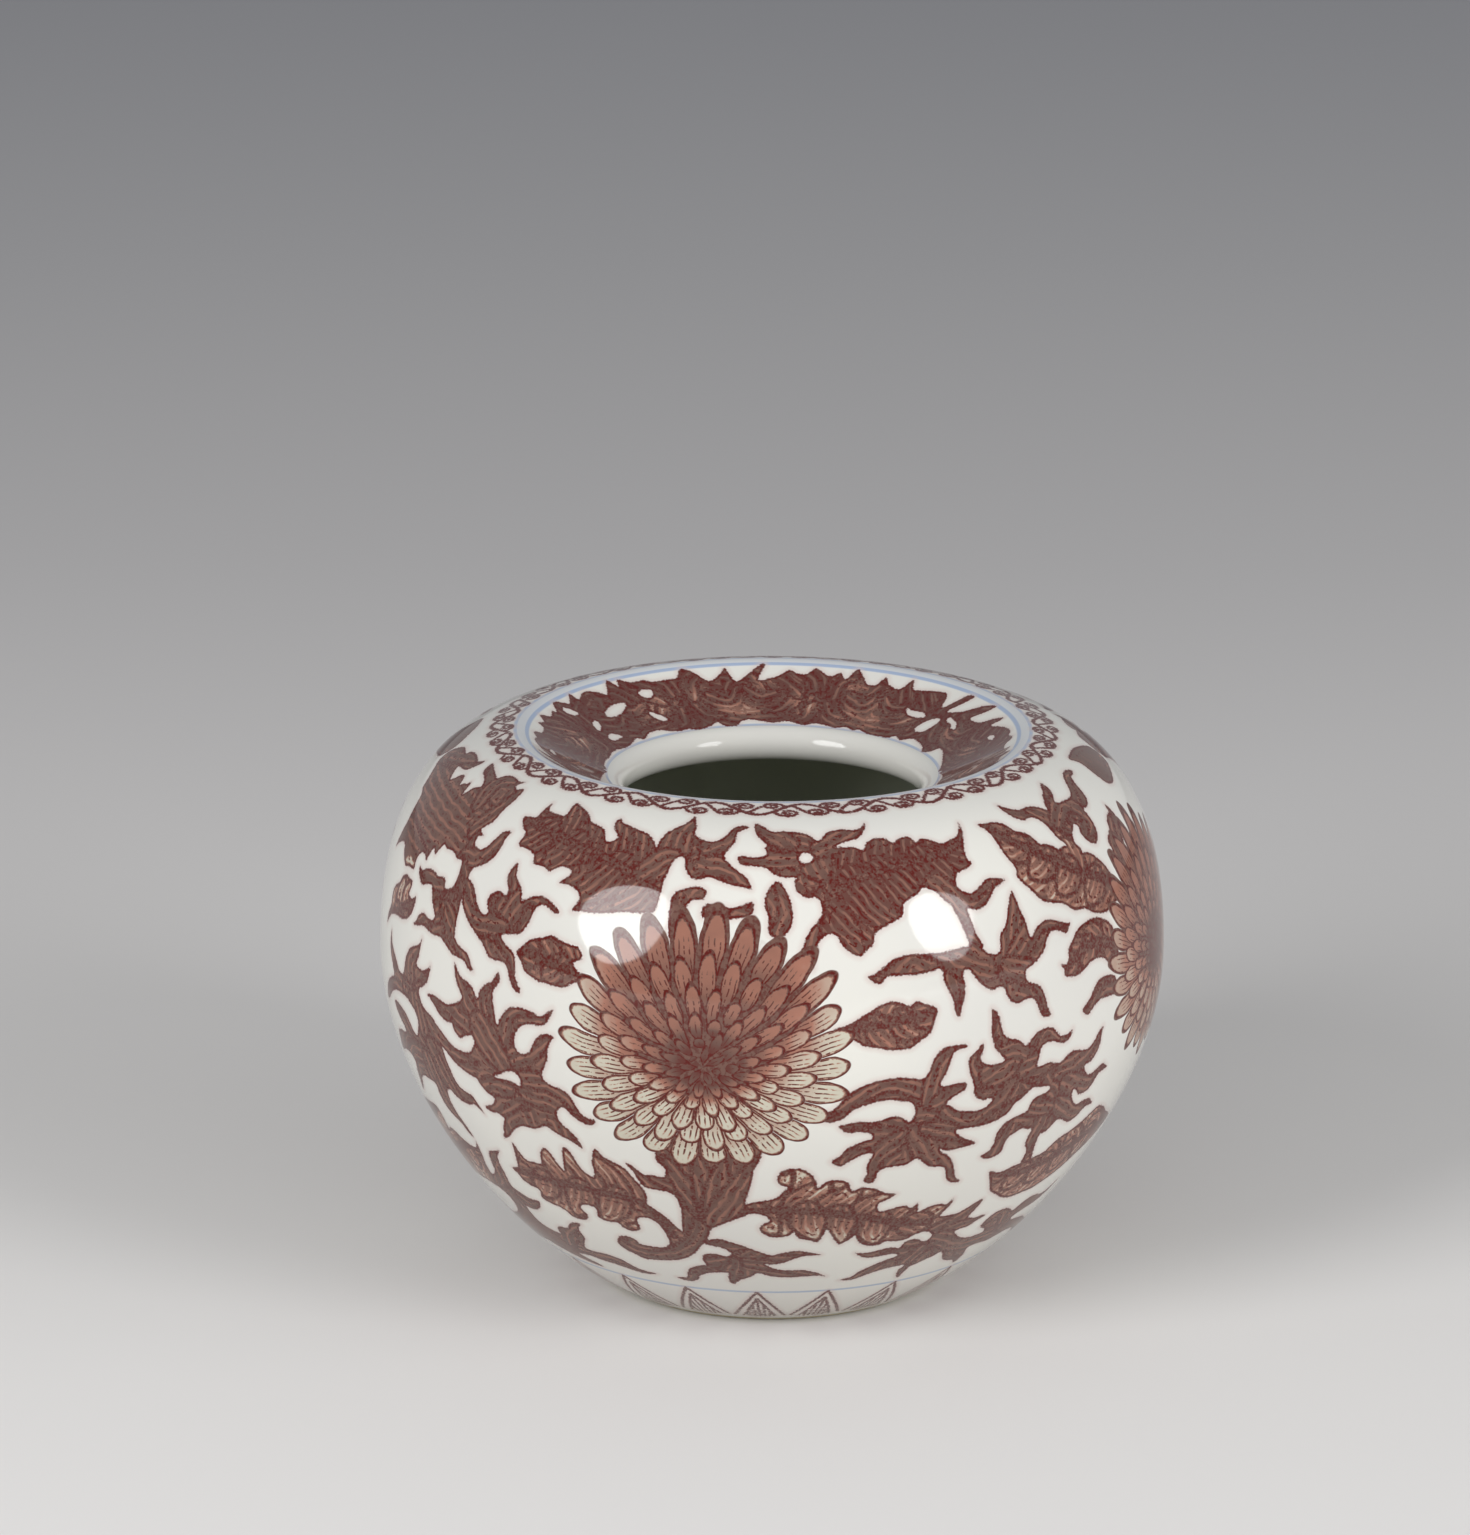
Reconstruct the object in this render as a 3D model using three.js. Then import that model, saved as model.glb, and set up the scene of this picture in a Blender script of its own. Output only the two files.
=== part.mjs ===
// An apple-shaped porcelain jar: a round belly, a top that dishes down into the middle, and a
// small round mouth at the bottom of that dish. The potter throws it in sections and lutes them
// together with slip before firing, and each section is a mesh of its own here, seated face to
// face on flat seams: foot_ring, lower_body, upper_body and mouth_ring.
// Millimetres, +Z up, origin at the centre of the circle that the foot stands on.
// A profile point is (radius, height).

import * as THREE from 'three';

// Driving dimensions
const HEIGHT = 74;                // table to the top of the rounded crest
const BELLY_RADIUS = 51.5;        // widest point of the belly
const BELLY_HEIGHT = 45;          // height of that widest point, where the two halves are luted
const RIM_RADIUS = 33.5;          // axis to the top of the crest, between shoulder and dish
const RIM_ROUNDING = 3;           // radius of the rounded crest
const SHOULDER_SLOPE = 7;         // degrees below level at which the shoulder meets the crest
const DISH_SLOPE = 33;            // degrees below level at which the dish leaves the crest
const DISH_DEPTH = 6;             // drop from the crest to the top of the lip
const MOUTH_RADIUS = 19.3;        // clear radius of the mouth
const LIP_RADIUS = 2.3;           // radius of the rolled lip round the mouth
const LIP_FILLET = 2.4;           // how far the underside of the lip runs out before it rises
const WALL = 3.2;                 // thickness of the thrown walls
const BASE_THICKNESS = 3.8;       // floor of the jar
const FLOOR_FILLET = 5;           // sweep of the inside corner between floor and wall
const FOOT_RADIUS = 22;           // where the outer wall would meet the table
const FOOT_CONTACT_WIDTH = 2.6;   // width of the foot ring at the table, with its bevels
const FOOT_RING_HEIGHT = 3.4;     // depth of the recess that is turned inside the foot
const FOOT_RING_DRAFT = 0.8;      // how much the recess narrows towards the base
const FOOT_EDGE = 0.35;           // bevel at both edges of the contact ring

// Pulls of the two curves that make the outer wall, from their ends towards their middle
const FOOT_PULL_OUT = 14.8;       // outwards from the foot
const FOOT_PULL_UP = 8;           // upwards from the foot
const LOWER_BELLY_PULL = 17;      // straight down from the belly
const UPPER_BELLY_PULL = 23;      // straight up from the belly
const SHOULDER_PULL = 7.5;        // along the shoulder from the crest

// Mesh fineness
const ROUND_SEGMENTS = 64;
const CURVE_STEPS = 16;
const DISH_STEPS = 8;
const LIP_STEPS = 12;
const FILLET_STEPS = 4;
const BISECTIONS = 50;

const GLAZE_COLOUR = 0xece9e0;
const BISCUIT_COLOUR = 0xd9cfb4;
const GLAZE_ROUGHNESS = 0.12;
const BISCUIT_ROUGHNESS = 0.8;

const point = (radius, height) => new THREE.Vector2(radius, height);
const radians = THREE.MathUtils.degToRad;

// The top of the crest is an arc. A point on it, by its angle outwards from straight up.
function crestPoint(angle) {
  const centre = point(RIM_RADIUS, HEIGHT - RIM_ROUNDING);
  return centre.add(point(Math.sin(angle), Math.cos(angle)).multiplyScalar(RIM_ROUNDING));
}

// The outer wall from the foot up to the belly.
const belly = point(BELLY_RADIUS, BELLY_HEIGHT);
const lowerWall = new THREE.CubicBezierCurve(
  point(FOOT_RADIUS, 0),
  point(FOOT_RADIUS + FOOT_PULL_OUT, FOOT_PULL_UP),
  point(BELLY_RADIUS, BELLY_HEIGHT - LOWER_BELLY_PULL),
  belly,
);

// The outer wall from the belly over the shoulder, tangent to the arc of the crest.
const shoulderSlope = radians(SHOULDER_SLOPE);
const shoulderEnd = crestPoint(shoulderSlope);
const shoulderWay = point(Math.cos(shoulderSlope), -Math.sin(shoulderSlope));
const upperWall = new THREE.CubicBezierCurve(
  belly,
  point(BELLY_RADIUS, BELLY_HEIGHT + UPPER_BELLY_PULL),
  shoulderEnd.clone().addScaledVector(shoulderWay, SHOULDER_PULL),
  shoulderEnd,
);

// The dish leaves the crest at its own slope and flattens towards the lip.
const seatHeight = HEIGHT - DISH_DEPTH;
const lipCentre = point(MOUTH_RADIUS + LIP_RADIUS, seatHeight - LIP_RADIUS);
const dishSlope = radians(DISH_SLOPE);
const dishStart = crestPoint(-dishSlope);
const dishFoot = point(lipCentre.x, seatHeight);
const dishHalfWidth = (dishStart.x - dishFoot.x) / 2;
const dish = new THREE.QuadraticBezierCurve(
  dishStart,
  dishStart.clone().sub(point(dishHalfWidth, dishHalfWidth * Math.tan(dishSlope))),
  dishFoot,
);

// The underside of the dish is a cone, a wall's thickness below the line from lip to crest.
const dishWay = point(RIM_RADIUS, HEIGHT).sub(dishFoot).normalize();
const undersideStart = dishFoot.clone().addScaledVector(point(dishWay.y, -dishWay.x), WALL);
const seatOuter = crossing(undersideStart, dishWay, dishFoot, point(1, 0));

// Points on a curve from one share of its length to another, with both ends.
function along(curve, from = 0, to = 1, steps = CURVE_STEPS) {
  const points = [];
  for (let i = 0; i <= steps; i++) {
    points.push(curve.getPoint(from + ((to - from) * i) / steps));
  }
  return points;
}

// The direction of a cubic curve, from its own formula, so that it is exact at both ends.
function directionOf(curve, share) {
  const rest = 1 - share;
  const way = point(0, 0);
  way.addScaledVector(curve.v1.clone().sub(curve.v0), rest * rest);
  way.addScaledVector(curve.v2.clone().sub(curve.v1), 2 * rest * share);
  way.addScaledVector(curve.v3.clone().sub(curve.v2), share * share);
  return way.normalize();
}

// The same stretch moved inwards by the wall, to the left of the way the curve runs.
function insideOf(curve, from = 0, to = 1, steps = CURVE_STEPS) {
  const points = [];
  for (let i = 0; i <= steps; i++) {
    const share = from + ((to - from) * i) / steps;
    const way = directionOf(curve, share);
    points.push(curve.getPoint(share).addScaledVector(point(-way.y, way.x), WALL));
  }
  return points;
}

// The share of a rising curve at which it reaches a height.
function shareAtHeight(curve, height) {
  let low = 0;
  let high = 1;
  for (let i = 0; i < BISECTIONS; i++) {
    const middle = (low + high) / 2;
    if (curve.getPoint(middle).y < height) {
      low = middle;
    } else {
      high = middle;
    }
  }
  return (low + high) / 2;
}

// Where two straight lines cross, each given by a point and a direction.
function crossing(a, aWay, b, bWay) {
  const gap = b.clone().sub(a);
  return a.clone().addScaledVector(aWay, gap.cross(bWay) / aWay.cross(bWay));
}

// A section turned on the wheel: the profile revolved about the jar's axis.
function thrown(name, profile, color = GLAZE_COLOUR, roughness = GLAZE_ROUGHNESS) {
  const material = new THREE.MeshStandardMaterial({ color, roughness, metalness: 0 });
  const mesh = new THREE.Mesh(new THREE.LatheGeometry(profile, ROUND_SEGMENTS), material);
  mesh.rotation.x = Math.PI / 2; // a lathe turns about Y, and the jar stands along Z
  mesh.name = name;
  return mesh;
}

// The turned foot: its outer wall carries the belly's curve down to a flat bare contact ring.
function footRing() {
  const top = shareAtHeight(lowerWall, FOOT_RING_HEIGHT);
  const bevelTop = shareAtHeight(lowerWall, FOOT_EDGE);
  const innerRadius = FOOT_RADIUS - FOOT_CONTACT_WIDTH;
  const recessTop = point(innerRadius - FOOT_RING_DRAFT, FOOT_RING_HEIGHT);
  const profile = [
    recessTop,
    point(innerRadius, FOOT_EDGE),
    point(innerRadius + FOOT_EDGE, 0),
    point(FOOT_RADIUS - FOOT_EDGE, 0),
    ...along(lowerWall, bevelTop, top, FILLET_STEPS),
    recessTop.clone(),
  ];
  return thrown('foot_ring', profile, BISCUIT_COLOUR, BISCUIT_ROUGHNESS);
}

// The thrown bowl from the turned base to the seam at the belly.
function lowerBody() {
  const bottom = shareAtHeight(lowerWall, FOOT_RING_HEIGHT);
  const floorHeight = FOOT_RING_HEIGHT + BASE_THICKNESS;
  const inner = insideOf(lowerWall, bottom, 1).filter((p) => p.y > floorHeight + FLOOR_FILLET);
  const wallFoot = inner[0];
  const floorSweep = new THREE.QuadraticBezierCurve(
    wallFoot,
    point(wallFoot.x - FLOOR_FILLET / 2, floorHeight),
    point(wallFoot.x - FLOOR_FILLET, floorHeight),
  );
  return thrown('lower_body', [
    point(0, FOOT_RING_HEIGHT),
    ...along(lowerWall, bottom, 1),
    ...inner.slice(1).reverse(),
    ...along(floorSweep, 0, 1, FILLET_STEPS),
    point(0, floorHeight),
  ]);
}

// The thrown dome from the seam over the shoulder and the crest, and down the dish to the lip.
function upperBody() {
  const crest = [];
  for (let i = 1; i < FILLET_STEPS; i++) {
    const share = i / FILLET_STEPS;
    crest.push(crestPoint(shoulderSlope * (1 - share) - dishSlope * share));
  }
  const top = point(RIM_RADIUS, HEIGHT);
  const crestArc = [...crest.filter((p) => p.x > top.x), top, ...crest.filter((p) => p.x < top.x)];
  const below = (p) => p.clone().sub(undersideStart).cross(dishWay) > 0;
  const inner = insideOf(upperWall).filter(below);
  const last = inner[inner.length - 1];
  const lastWay = last.clone().sub(inner[inner.length - 2]);
  return thrown('upper_body', [
    ...along(upperWall),
    ...crestArc,
    ...along(dish, 0, 1, DISH_STEPS),
    seatOuter,
    crossing(undersideStart, dishWay, last, lastWay),
    ...inner.reverse(),
    belly.clone(),
  ]);
}

// The rolled lip round the mouth, luted under the bottom of the dish.
function mouthRing() {
  const roll = [];
  for (let i = 0; i <= LIP_STEPS; i++) {
    const turn = Math.PI / 2 + (Math.PI * i) / LIP_STEPS;
    roll.push(lipCentre.clone().addScaledVector(point(Math.cos(turn), Math.sin(turn)), LIP_RADIUS));
  }
  const lipBottom = roll[roll.length - 1];
  const underside = new THREE.QuadraticBezierCurve(
    lipBottom,
    lipBottom.clone().add(point(LIP_FILLET, 0)),
    seatOuter,
  );
  return thrown('mouth_ring', [
    ...roll,
    ...along(underside, 0, 1, FILLET_STEPS).slice(1),
    roll[0].clone(),
  ]);
}

const jar = new THREE.Group();
jar.name = 'apple_jar';
jar.add(footRing(), lowerBody(), upperBody(), mouthRing());

export default jar;
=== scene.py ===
# %% [markdown]
# # An apple-shaped porcelain jar
# The jar is a small round pot whose top dishes down to a rolled mouth, painted under the glaze in
# copper red with a flower scroll. This file builds it in Blender round the solids from the CAD
# model, in metres, with +Z up and the jar standing on its foot at the origin.

# %% Load the CAD model as a fixed frame
import math

import bpy
import numpy as np
from mathutils import Matrix, Vector


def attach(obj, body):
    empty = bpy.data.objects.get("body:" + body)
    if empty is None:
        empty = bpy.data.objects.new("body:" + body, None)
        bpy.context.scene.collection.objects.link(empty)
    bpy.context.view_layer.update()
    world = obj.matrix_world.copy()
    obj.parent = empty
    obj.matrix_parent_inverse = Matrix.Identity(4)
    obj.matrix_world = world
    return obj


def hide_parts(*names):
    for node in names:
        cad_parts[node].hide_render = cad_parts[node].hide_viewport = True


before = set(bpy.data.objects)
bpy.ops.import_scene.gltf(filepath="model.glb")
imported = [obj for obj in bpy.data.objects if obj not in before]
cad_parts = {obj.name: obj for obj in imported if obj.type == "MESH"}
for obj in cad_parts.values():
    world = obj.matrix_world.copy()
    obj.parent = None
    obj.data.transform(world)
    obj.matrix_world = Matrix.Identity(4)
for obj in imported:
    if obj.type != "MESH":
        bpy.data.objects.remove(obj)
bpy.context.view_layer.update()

# %% [markdown]
# ## Camera
# The picture is taken from a little above the jar, from 0.9 m away, with a long lens. The camera
# looks at the middle of the rim, and is then turned by less than half a degree so that this point
# falls on its pixel. An Empty with a Track To constraint could aim it too, but the small turns
# and the roll are easier to give as one matrix.

# %% Camera
IMAGE = (1470, 1535)          # pixels
FOCAL = 6901.2                # pixels
SENSOR = 36.0                 # mm, along the long side
DISTANCE = 0.9                # metres from the middle of the rim
ELEVATION = 0.28407           # radians above the horizon
RIM_PIXEL = (772.8, 727.4)    # where the middle of the rim falls in the picture
ROLL = -0.0057                # radians
RIM_CENTRE = Vector((0, 0, 0.074))

away = Vector((0, -math.cos(ELEVATION), math.sin(ELEVATION)))
forward, right = -away, Vector((1, 0, 0))
up = right.cross(forward)
aside, above = RIM_PIXEL[0] - IMAGE[0] / 2, IMAGE[1] / 2 - RIM_PIXEL[1]
tilt = Matrix.Rotation(-math.atan2(above, math.hypot(FOCAL, aside)), 3, right)
up, forward = tilt @ up, tilt @ forward
swing = Matrix.Rotation(math.atan2(aside, FOCAL), 3, up)
right, forward = swing @ right, swing @ forward
roll = Matrix.Rotation(ROLL, 3, forward)
right, up = roll @ right, roll @ up

bpy.ops.object.camera_add()
camera = bpy.context.object
camera.name = "camera"
camera.data.lens = FOCAL * SENSOR / max(IMAGE)
camera.data.sensor_width = SENSOR
camera.matrix_world = (
    Matrix.Translation(RIM_CENTRE + DISTANCE * away)
    @ Matrix((right, up, -forward)).transposed().to_4x4()
)
bpy.context.scene.camera = camera
print("camera", [round(v, 4) for v in camera.location], "lens", round(camera.data.lens, 2), "mm")

# %% [markdown]
# ## Light
# The glaze shows two soft windows of light on the belly, and the same two as streaks on the lip.
# A highlight is a mirror image, so reflecting the line of sight there gives each lamp's direction
# and size: two upright softboxes, one to each side in front. Two wider lamps leave no mirror
# image. They stand for light from the right, and for light that the paper in front throws up.
# A pale world fills the shadows.

# %% Softboxes
BELLY_CENTRE = Vector((0, 0, 0.055))
LAMP_DISTANCE = 0.95          # metres


def softbox(name, azimuth, elevation, width, height, power, mirrored=True):
    """A rounded lamp that faces the belly. Azimuth 0 is the camera's side, in degrees."""
    turn, rise = math.radians(azimuth), math.radians(elevation)
    way = Vector(
        (math.sin(turn) * math.cos(rise), -math.cos(turn) * math.cos(rise), math.sin(rise))
    )
    bpy.ops.object.light_add(type="AREA", location=BELLY_CENTRE + LAMP_DISTANCE * way)
    lamp = bpy.context.object
    lamp.name = name
    lamp.rotation_mode = "QUATERNION"
    lamp.rotation_quaternion = way.to_track_quat("Z", "Y")
    lamp.data.shape = "ELLIPSE"
    lamp.data.size, lamp.data.size_y = width, height
    lamp.data.energy = power
    lamp.visible_glossy = mirrored
    print(name, [round(v, 3) for v in lamp.location], power, "W")


softbox("softbox_left", -46, 23, 0.42, 0.66, 4.8)
softbox("softbox_right", 52, 20, 0.32, 0.54, 2.4)
softbox("bounce_right", 60, 12, 0.9, 0.9, 3.2, mirrored=False)
softbox("table_glow", -10, 4, 1.2, 0.16, 0.5, mirrored=False)

# %% [markdown]
# ## Floor and backdrop
# One grey sheet runs from the table back out of sight. It gets darker with distance, as a paper
# sweep does when the lamps stand close to the object. The gradient is in the sheet's own colour.

# %% Colour and node helpers
def linear(hex_colour):
    """An sRGB hex colour as linear RGBA, which is what Blender's sockets take."""
    parts = [int(hex_colour[i : i + 2], 16) / 255 for i in (1, 3, 5)]
    parts = [c / 12.92 if c <= 0.04045 else ((c + 0.055) / 1.055) ** 2.4 for c in parts]
    return (*parts, 1.0)


def add(tree, kind, values=None, out=0, **settings):
    """Adds one node and hands back its output. A value that is a socket is linked to it, and any
    other is set."""
    made = tree.nodes.new(kind)
    for name, value in settings.items():
        setattr(made, name, value)
    for key, value in (values or {}).items():
        if isinstance(value, bpy.types.NodeSocket):
            tree.links.new(value, made.inputs[key])
        else:
            made.inputs[key].default_value = value
    return made.outputs[out] if len(made.outputs) else made


def blank(name):
    """A material without any node yet, and its node tree."""
    material = bpy.data.materials.new(name)
    material.use_nodes = True
    material.node_tree.nodes.clear()
    return material, material.node_tree


def ramp(tree, place, stops, interpolation="LINEAR"):
    """A colour ramp through (position, hex colour) stops."""
    colour = add(tree, "ShaderNodeValToRGB", {"Fac": place}, out="Color")
    made = colour.node
    made.color_ramp.interpolation = interpolation
    points = made.color_ramp.elements
    while len(points) < len(stops):
        points.new(0.5)
    for point, (position, stop) in zip(points, stops):
        point.position = position
        point.color = linear(stop)
    return colour


print("middle grey is", [round(c, 3) for c in linear("#808080")])

# %% World and floor
SKY, SKY_STRENGTH = "#e9ebee", 0.45
world = bpy.data.worlds.new("studio")
bpy.context.scene.world = world
world.use_nodes = True
sky = world.node_tree.nodes["Background"]
sky.inputs["Color"].default_value = linear(SKY)
sky.inputs["Strength"].default_value = SKY_STRENGTH

FLOOR_HALF = 3.0      # metres
GRADIENT_NEAR = -0.1  # metres in front of the jar (-) and behind it (+)
GRADIENT_FAR = 1.0
PAPER = [             # share of the way back, and the grey there
    (0.0, "#e6e4e2"), (0.13, "#d9d7d5"), (0.26, "#cccac9"), (0.42, "#bdbbbb"), (0.66, "#b4b3b4"),
    (1.0, "#a5a5a9"),
]
bpy.ops.mesh.primitive_plane_add(size=2 * FLOOR_HALF)
floor = bpy.context.object
floor.name = "paper_sweep"
paper, tree = blank("grey_paper")
place = add(tree, "ShaderNodeTexCoord", out="Object")
depth = add(tree, "ShaderNodeSeparateXYZ", {0: place}, out="Y")
span = {"Value": depth, "From Min": GRADIENT_NEAR, "From Max": GRADIENT_FAR}
share = add(tree, "ShaderNodeMapRange", span)
grey = ramp(tree, share, PAPER, "B_SPLINE")
matt = add(tree, "ShaderNodeBsdfDiffuse", {"Color": grey, "Roughness": 0.4})
add(tree, "ShaderNodeOutputMaterial", {"Surface": matt})
floor.data.materials.append(paper)
print("floor", 2 * FLOOR_HALF, "m square")

# %% [markdown]
# ## The wall's outline
# The jar is thrown on a wheel, so one outline turned about the axis gives its whole outside. The
# outline repeats the curves of the CAD model: two cubic curves meet at the belly, an arc rounds
# the crest, one curve dishes down, and a half circle rolls the lip. Places on the glaze are given
# as a painter would find them: degrees round the jar, with 0 in front, and millimetres of rise
# along the wall from the foot.

# %% Outline in millimetres
def curve(points, share):
    """Points on a quadratic or cubic Bezier curve."""
    points = [np.array(p, float) for p in points]
    share = np.asarray(share, float)[:, None]
    while len(points) > 1:
        points = [a + (b - a) * share for a, b in zip(points, points[1:])]
    return points[0]


def turned(direction):
    """A direction in the outline, turned to point out of the wall."""
    return np.stack([direction[:, 1], -direction[:, 0]], -1)


def rounded(middle, radius, turn):
    """Points on an arc, from the angle of each, measured from level."""
    return np.stack([middle[0] + radius * np.cos(turn), middle[1] + radius * np.sin(turn)], -1)


FINE = 1500                                       # points on each part of the outline
SLOPE, DISH = math.radians(7), math.radians(33)   # of the shoulder and the dish at the crest
FOOT, BELLY, SEAT = (22.0, 0.0), (51.5, 45.0), 68.0
CREST, CREST_ROUNDING = (33.5, 71.0), 3.0         # middle and radius of the arc
LIP, LIP_ROUNDING = (21.6, 65.7), 2.3
LOWER_PULLS, UPPER_PULL, SHOULDER_PULL = [(36.8, 8.0), (51.5, 28.0)], (51.5, 68.0), 7.5
WALL, FLOOR_TOP, FLOOR_UNDER = 3.2, 7.2, 3.4

shares = np.linspace(0, 1, FINE)
crest = rounded(CREST, CREST_ROUNDING, math.pi / 2 - SLOPE + (SLOPE + DISH) * shares)
shoulder_way = np.array([math.cos(SLOPE), -math.sin(SLOPE)])
lower_points = [FOOT, *LOWER_PULLS, BELLY]
upper_points = [BELLY, UPPER_PULL, crest[0] + SHOULDER_PULL * shoulder_way, crest[0]]
half = (crest[-1, 0] - LIP[0]) / 2
dish_points = [crest[-1], crest[-1] - (half, half * math.tan(DISH)), (LIP[0], SEAT)]
lip = rounded(LIP, LIP_ROUNDING, np.pi * (0.5 + shares))
parts = [curve(lower_points, shares), curve(upper_points, shares), crest,
         curve(dish_points, shares), lip]
outline = np.concatenate([parts[0], *(p[1:] for p in parts[1:])])
rise = np.concatenate([[0], np.cumsum(np.hypot(*np.diff(outline, axis=0).T))])
outwards = turned(np.gradient(outline, rise, axis=0))
outwards /= np.linalg.norm(outwards, axis=1, keepdims=True)
ends = [float(rise[k]) for k in np.cumsum([len(shares)] + [len(shares) - 1] * 4) - 1]
BELLY_RISE, DISH_RISE = ends[0], ends[3]
print("rise in mm at belly, shoulder, crest, dish foot, lip:", [round(e, 2) for e in ends])


def at_rise(values, where):
    """A column of the outline's values at these rises."""
    return np.interp(where, rise, values)


def on_wall(turn, where):
    """Places on the glaze in millimetres, from degrees round the jar and rise."""
    turn = np.radians(turn)
    radius = at_rise(outline[:, 0], where)
    return np.stack(
        [radius * np.sin(turn), -radius * np.cos(turn), at_rise(outline[:, 1], where)], -1
    )


def out_of_wall(turn, where):
    """The direction straight out of the glaze at these places."""
    turn = np.radians(turn)
    level = at_rise(outwards[:, 0], where)
    return np.stack(
        [level * np.sin(turn), -level * np.cos(turn), at_rise(outwards[:, 1], where)], -1
    )


FOOT_SEAM_RISE = float(np.interp(FLOOR_UNDER, outline[:FINE, 1], rise[:FINE]))
print("rise at the top of the foot ring", round(FOOT_SEAM_RISE, 2), "mm")

# %% [markdown]
# ## Brushwork
# On the real jar a fine dark outline of copper red is drawn first, and a thinner wash fills it
# and fires to a brownish grey, with pinker streaks where the copper is thin. Painted as an image
# this would need a texture file, so each stroke is laid onto a fine grid of points on the wall
# instead. Every point keeps how far it lies inside the painted edge, how far along the streaks it
# is, and how strong the wash is. The material turns these into lines and colour, which stay
# sharp between the points.

# %% Grid of points
GRID = 0.3            # mm between points
REACH, DEEPEST = 2.4, 3.0   # mm outside and inside an edge at which its distance stops counting
FAR = 9.0             # stands for a place that is on no flower
HALF_TURN, WHOLE_TURN = 180, 360


def sheet(turn_from, turn_to, rise_from, rise_to, steps):
    """A blank part of the wall: its points, and the painted values that they carry."""
    turns = np.linspace(turn_from, turn_to, steps + 1)
    rows = int(round((rise_to - rise_from) / GRID))
    rises = np.linspace(rise_from, rise_to, rows + 1)
    turn, where = np.meshgrid(turns, rises)
    shape = turn.shape
    return {
        "turns": turns, "rises": rises, "place": on_wall(turn, where),
        "edge": np.full(shape, -REACH), "shape": np.full(shape, -REACH),
        "phase": np.zeros(shape), "tone": np.full(shape, 2.0), "streak": np.zeros(shape),
        "bloom": np.full((*shape, 3), FAR), "dusk": np.full(shape, -1.0),
    }


print("a point every", GRID, "mm")

# %% [markdown]
# ## One stroke
# A stroke is a smooth line with a width that changes along it. Streaks of thinner copper run
# beside that line, as the hairs of the brush leave them.

# %% One brush stroke
FULLNESS = 1.3        # how much fuller a loaded brush leaves a stroke than its spine is listed
SEAM = 0.27           # mm, the least distance kept where strokes lie over each other
SPINE_STEP = 0.25     # mm between the points of a stroke's line
SPAN_POINTS = 14      # points between two knots of it, before they are evened out
STREAK_SHIFT = 0.3    # how far the streaks lie off the line, as a share of their pitch


def spine(path):
    """A smooth line through (degrees, rise) points: its places, sides and length in mm."""
    knots = np.array(path, float)
    knots = np.vstack([2 * knots[0] - knots[1], knots, 2 * knots[-1] - knots[-2]])
    t = np.linspace(0, 1, SPAN_POINTS, endpoint=False)[:, None]
    line = [
        0.5 * (2 * b + (c - a) * t + (2 * a - 5 * b + 4 * c - d) * t**2
               + (3 * b - a - 3 * c + d) * t**3)
        for a, b, c, d in zip(knots, knots[1:], knots[2:], knots[3:])
    ]
    line = np.vstack([*line, knots[-2:-1]])
    place = on_wall(line[:, 0], line[:, 1])
    run = np.concatenate([[0], np.cumsum(np.linalg.norm(np.diff(place, axis=0), axis=1))])
    even = np.linspace(0, run[-1], max(int(run[-1] / SPINE_STEP), 4) + 1)
    line = np.stack([np.interp(even, run, line[:, k]) for k in (0, 1)], -1)
    place = on_wall(line[:, 0], line[:, 1])
    along = np.gradient(place, axis=0)
    side = np.cross(along, out_of_wall(line[:, 0], line[:, 1]))
    side /= np.linalg.norm(side, axis=1, keepdims=True)
    return line, place, side, even


def taper(form, t):
    """Half the width of a stroke at share t of its length, as a share of the greatest. A tongue
    narrows to a fine tip, and a stem is as wide all along."""
    if form == "tongue":
        return (0.16 + 0.84 * (1 - t**2)) * np.minimum(1, 0.72 + t)
    return np.ones_like(t)


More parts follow.
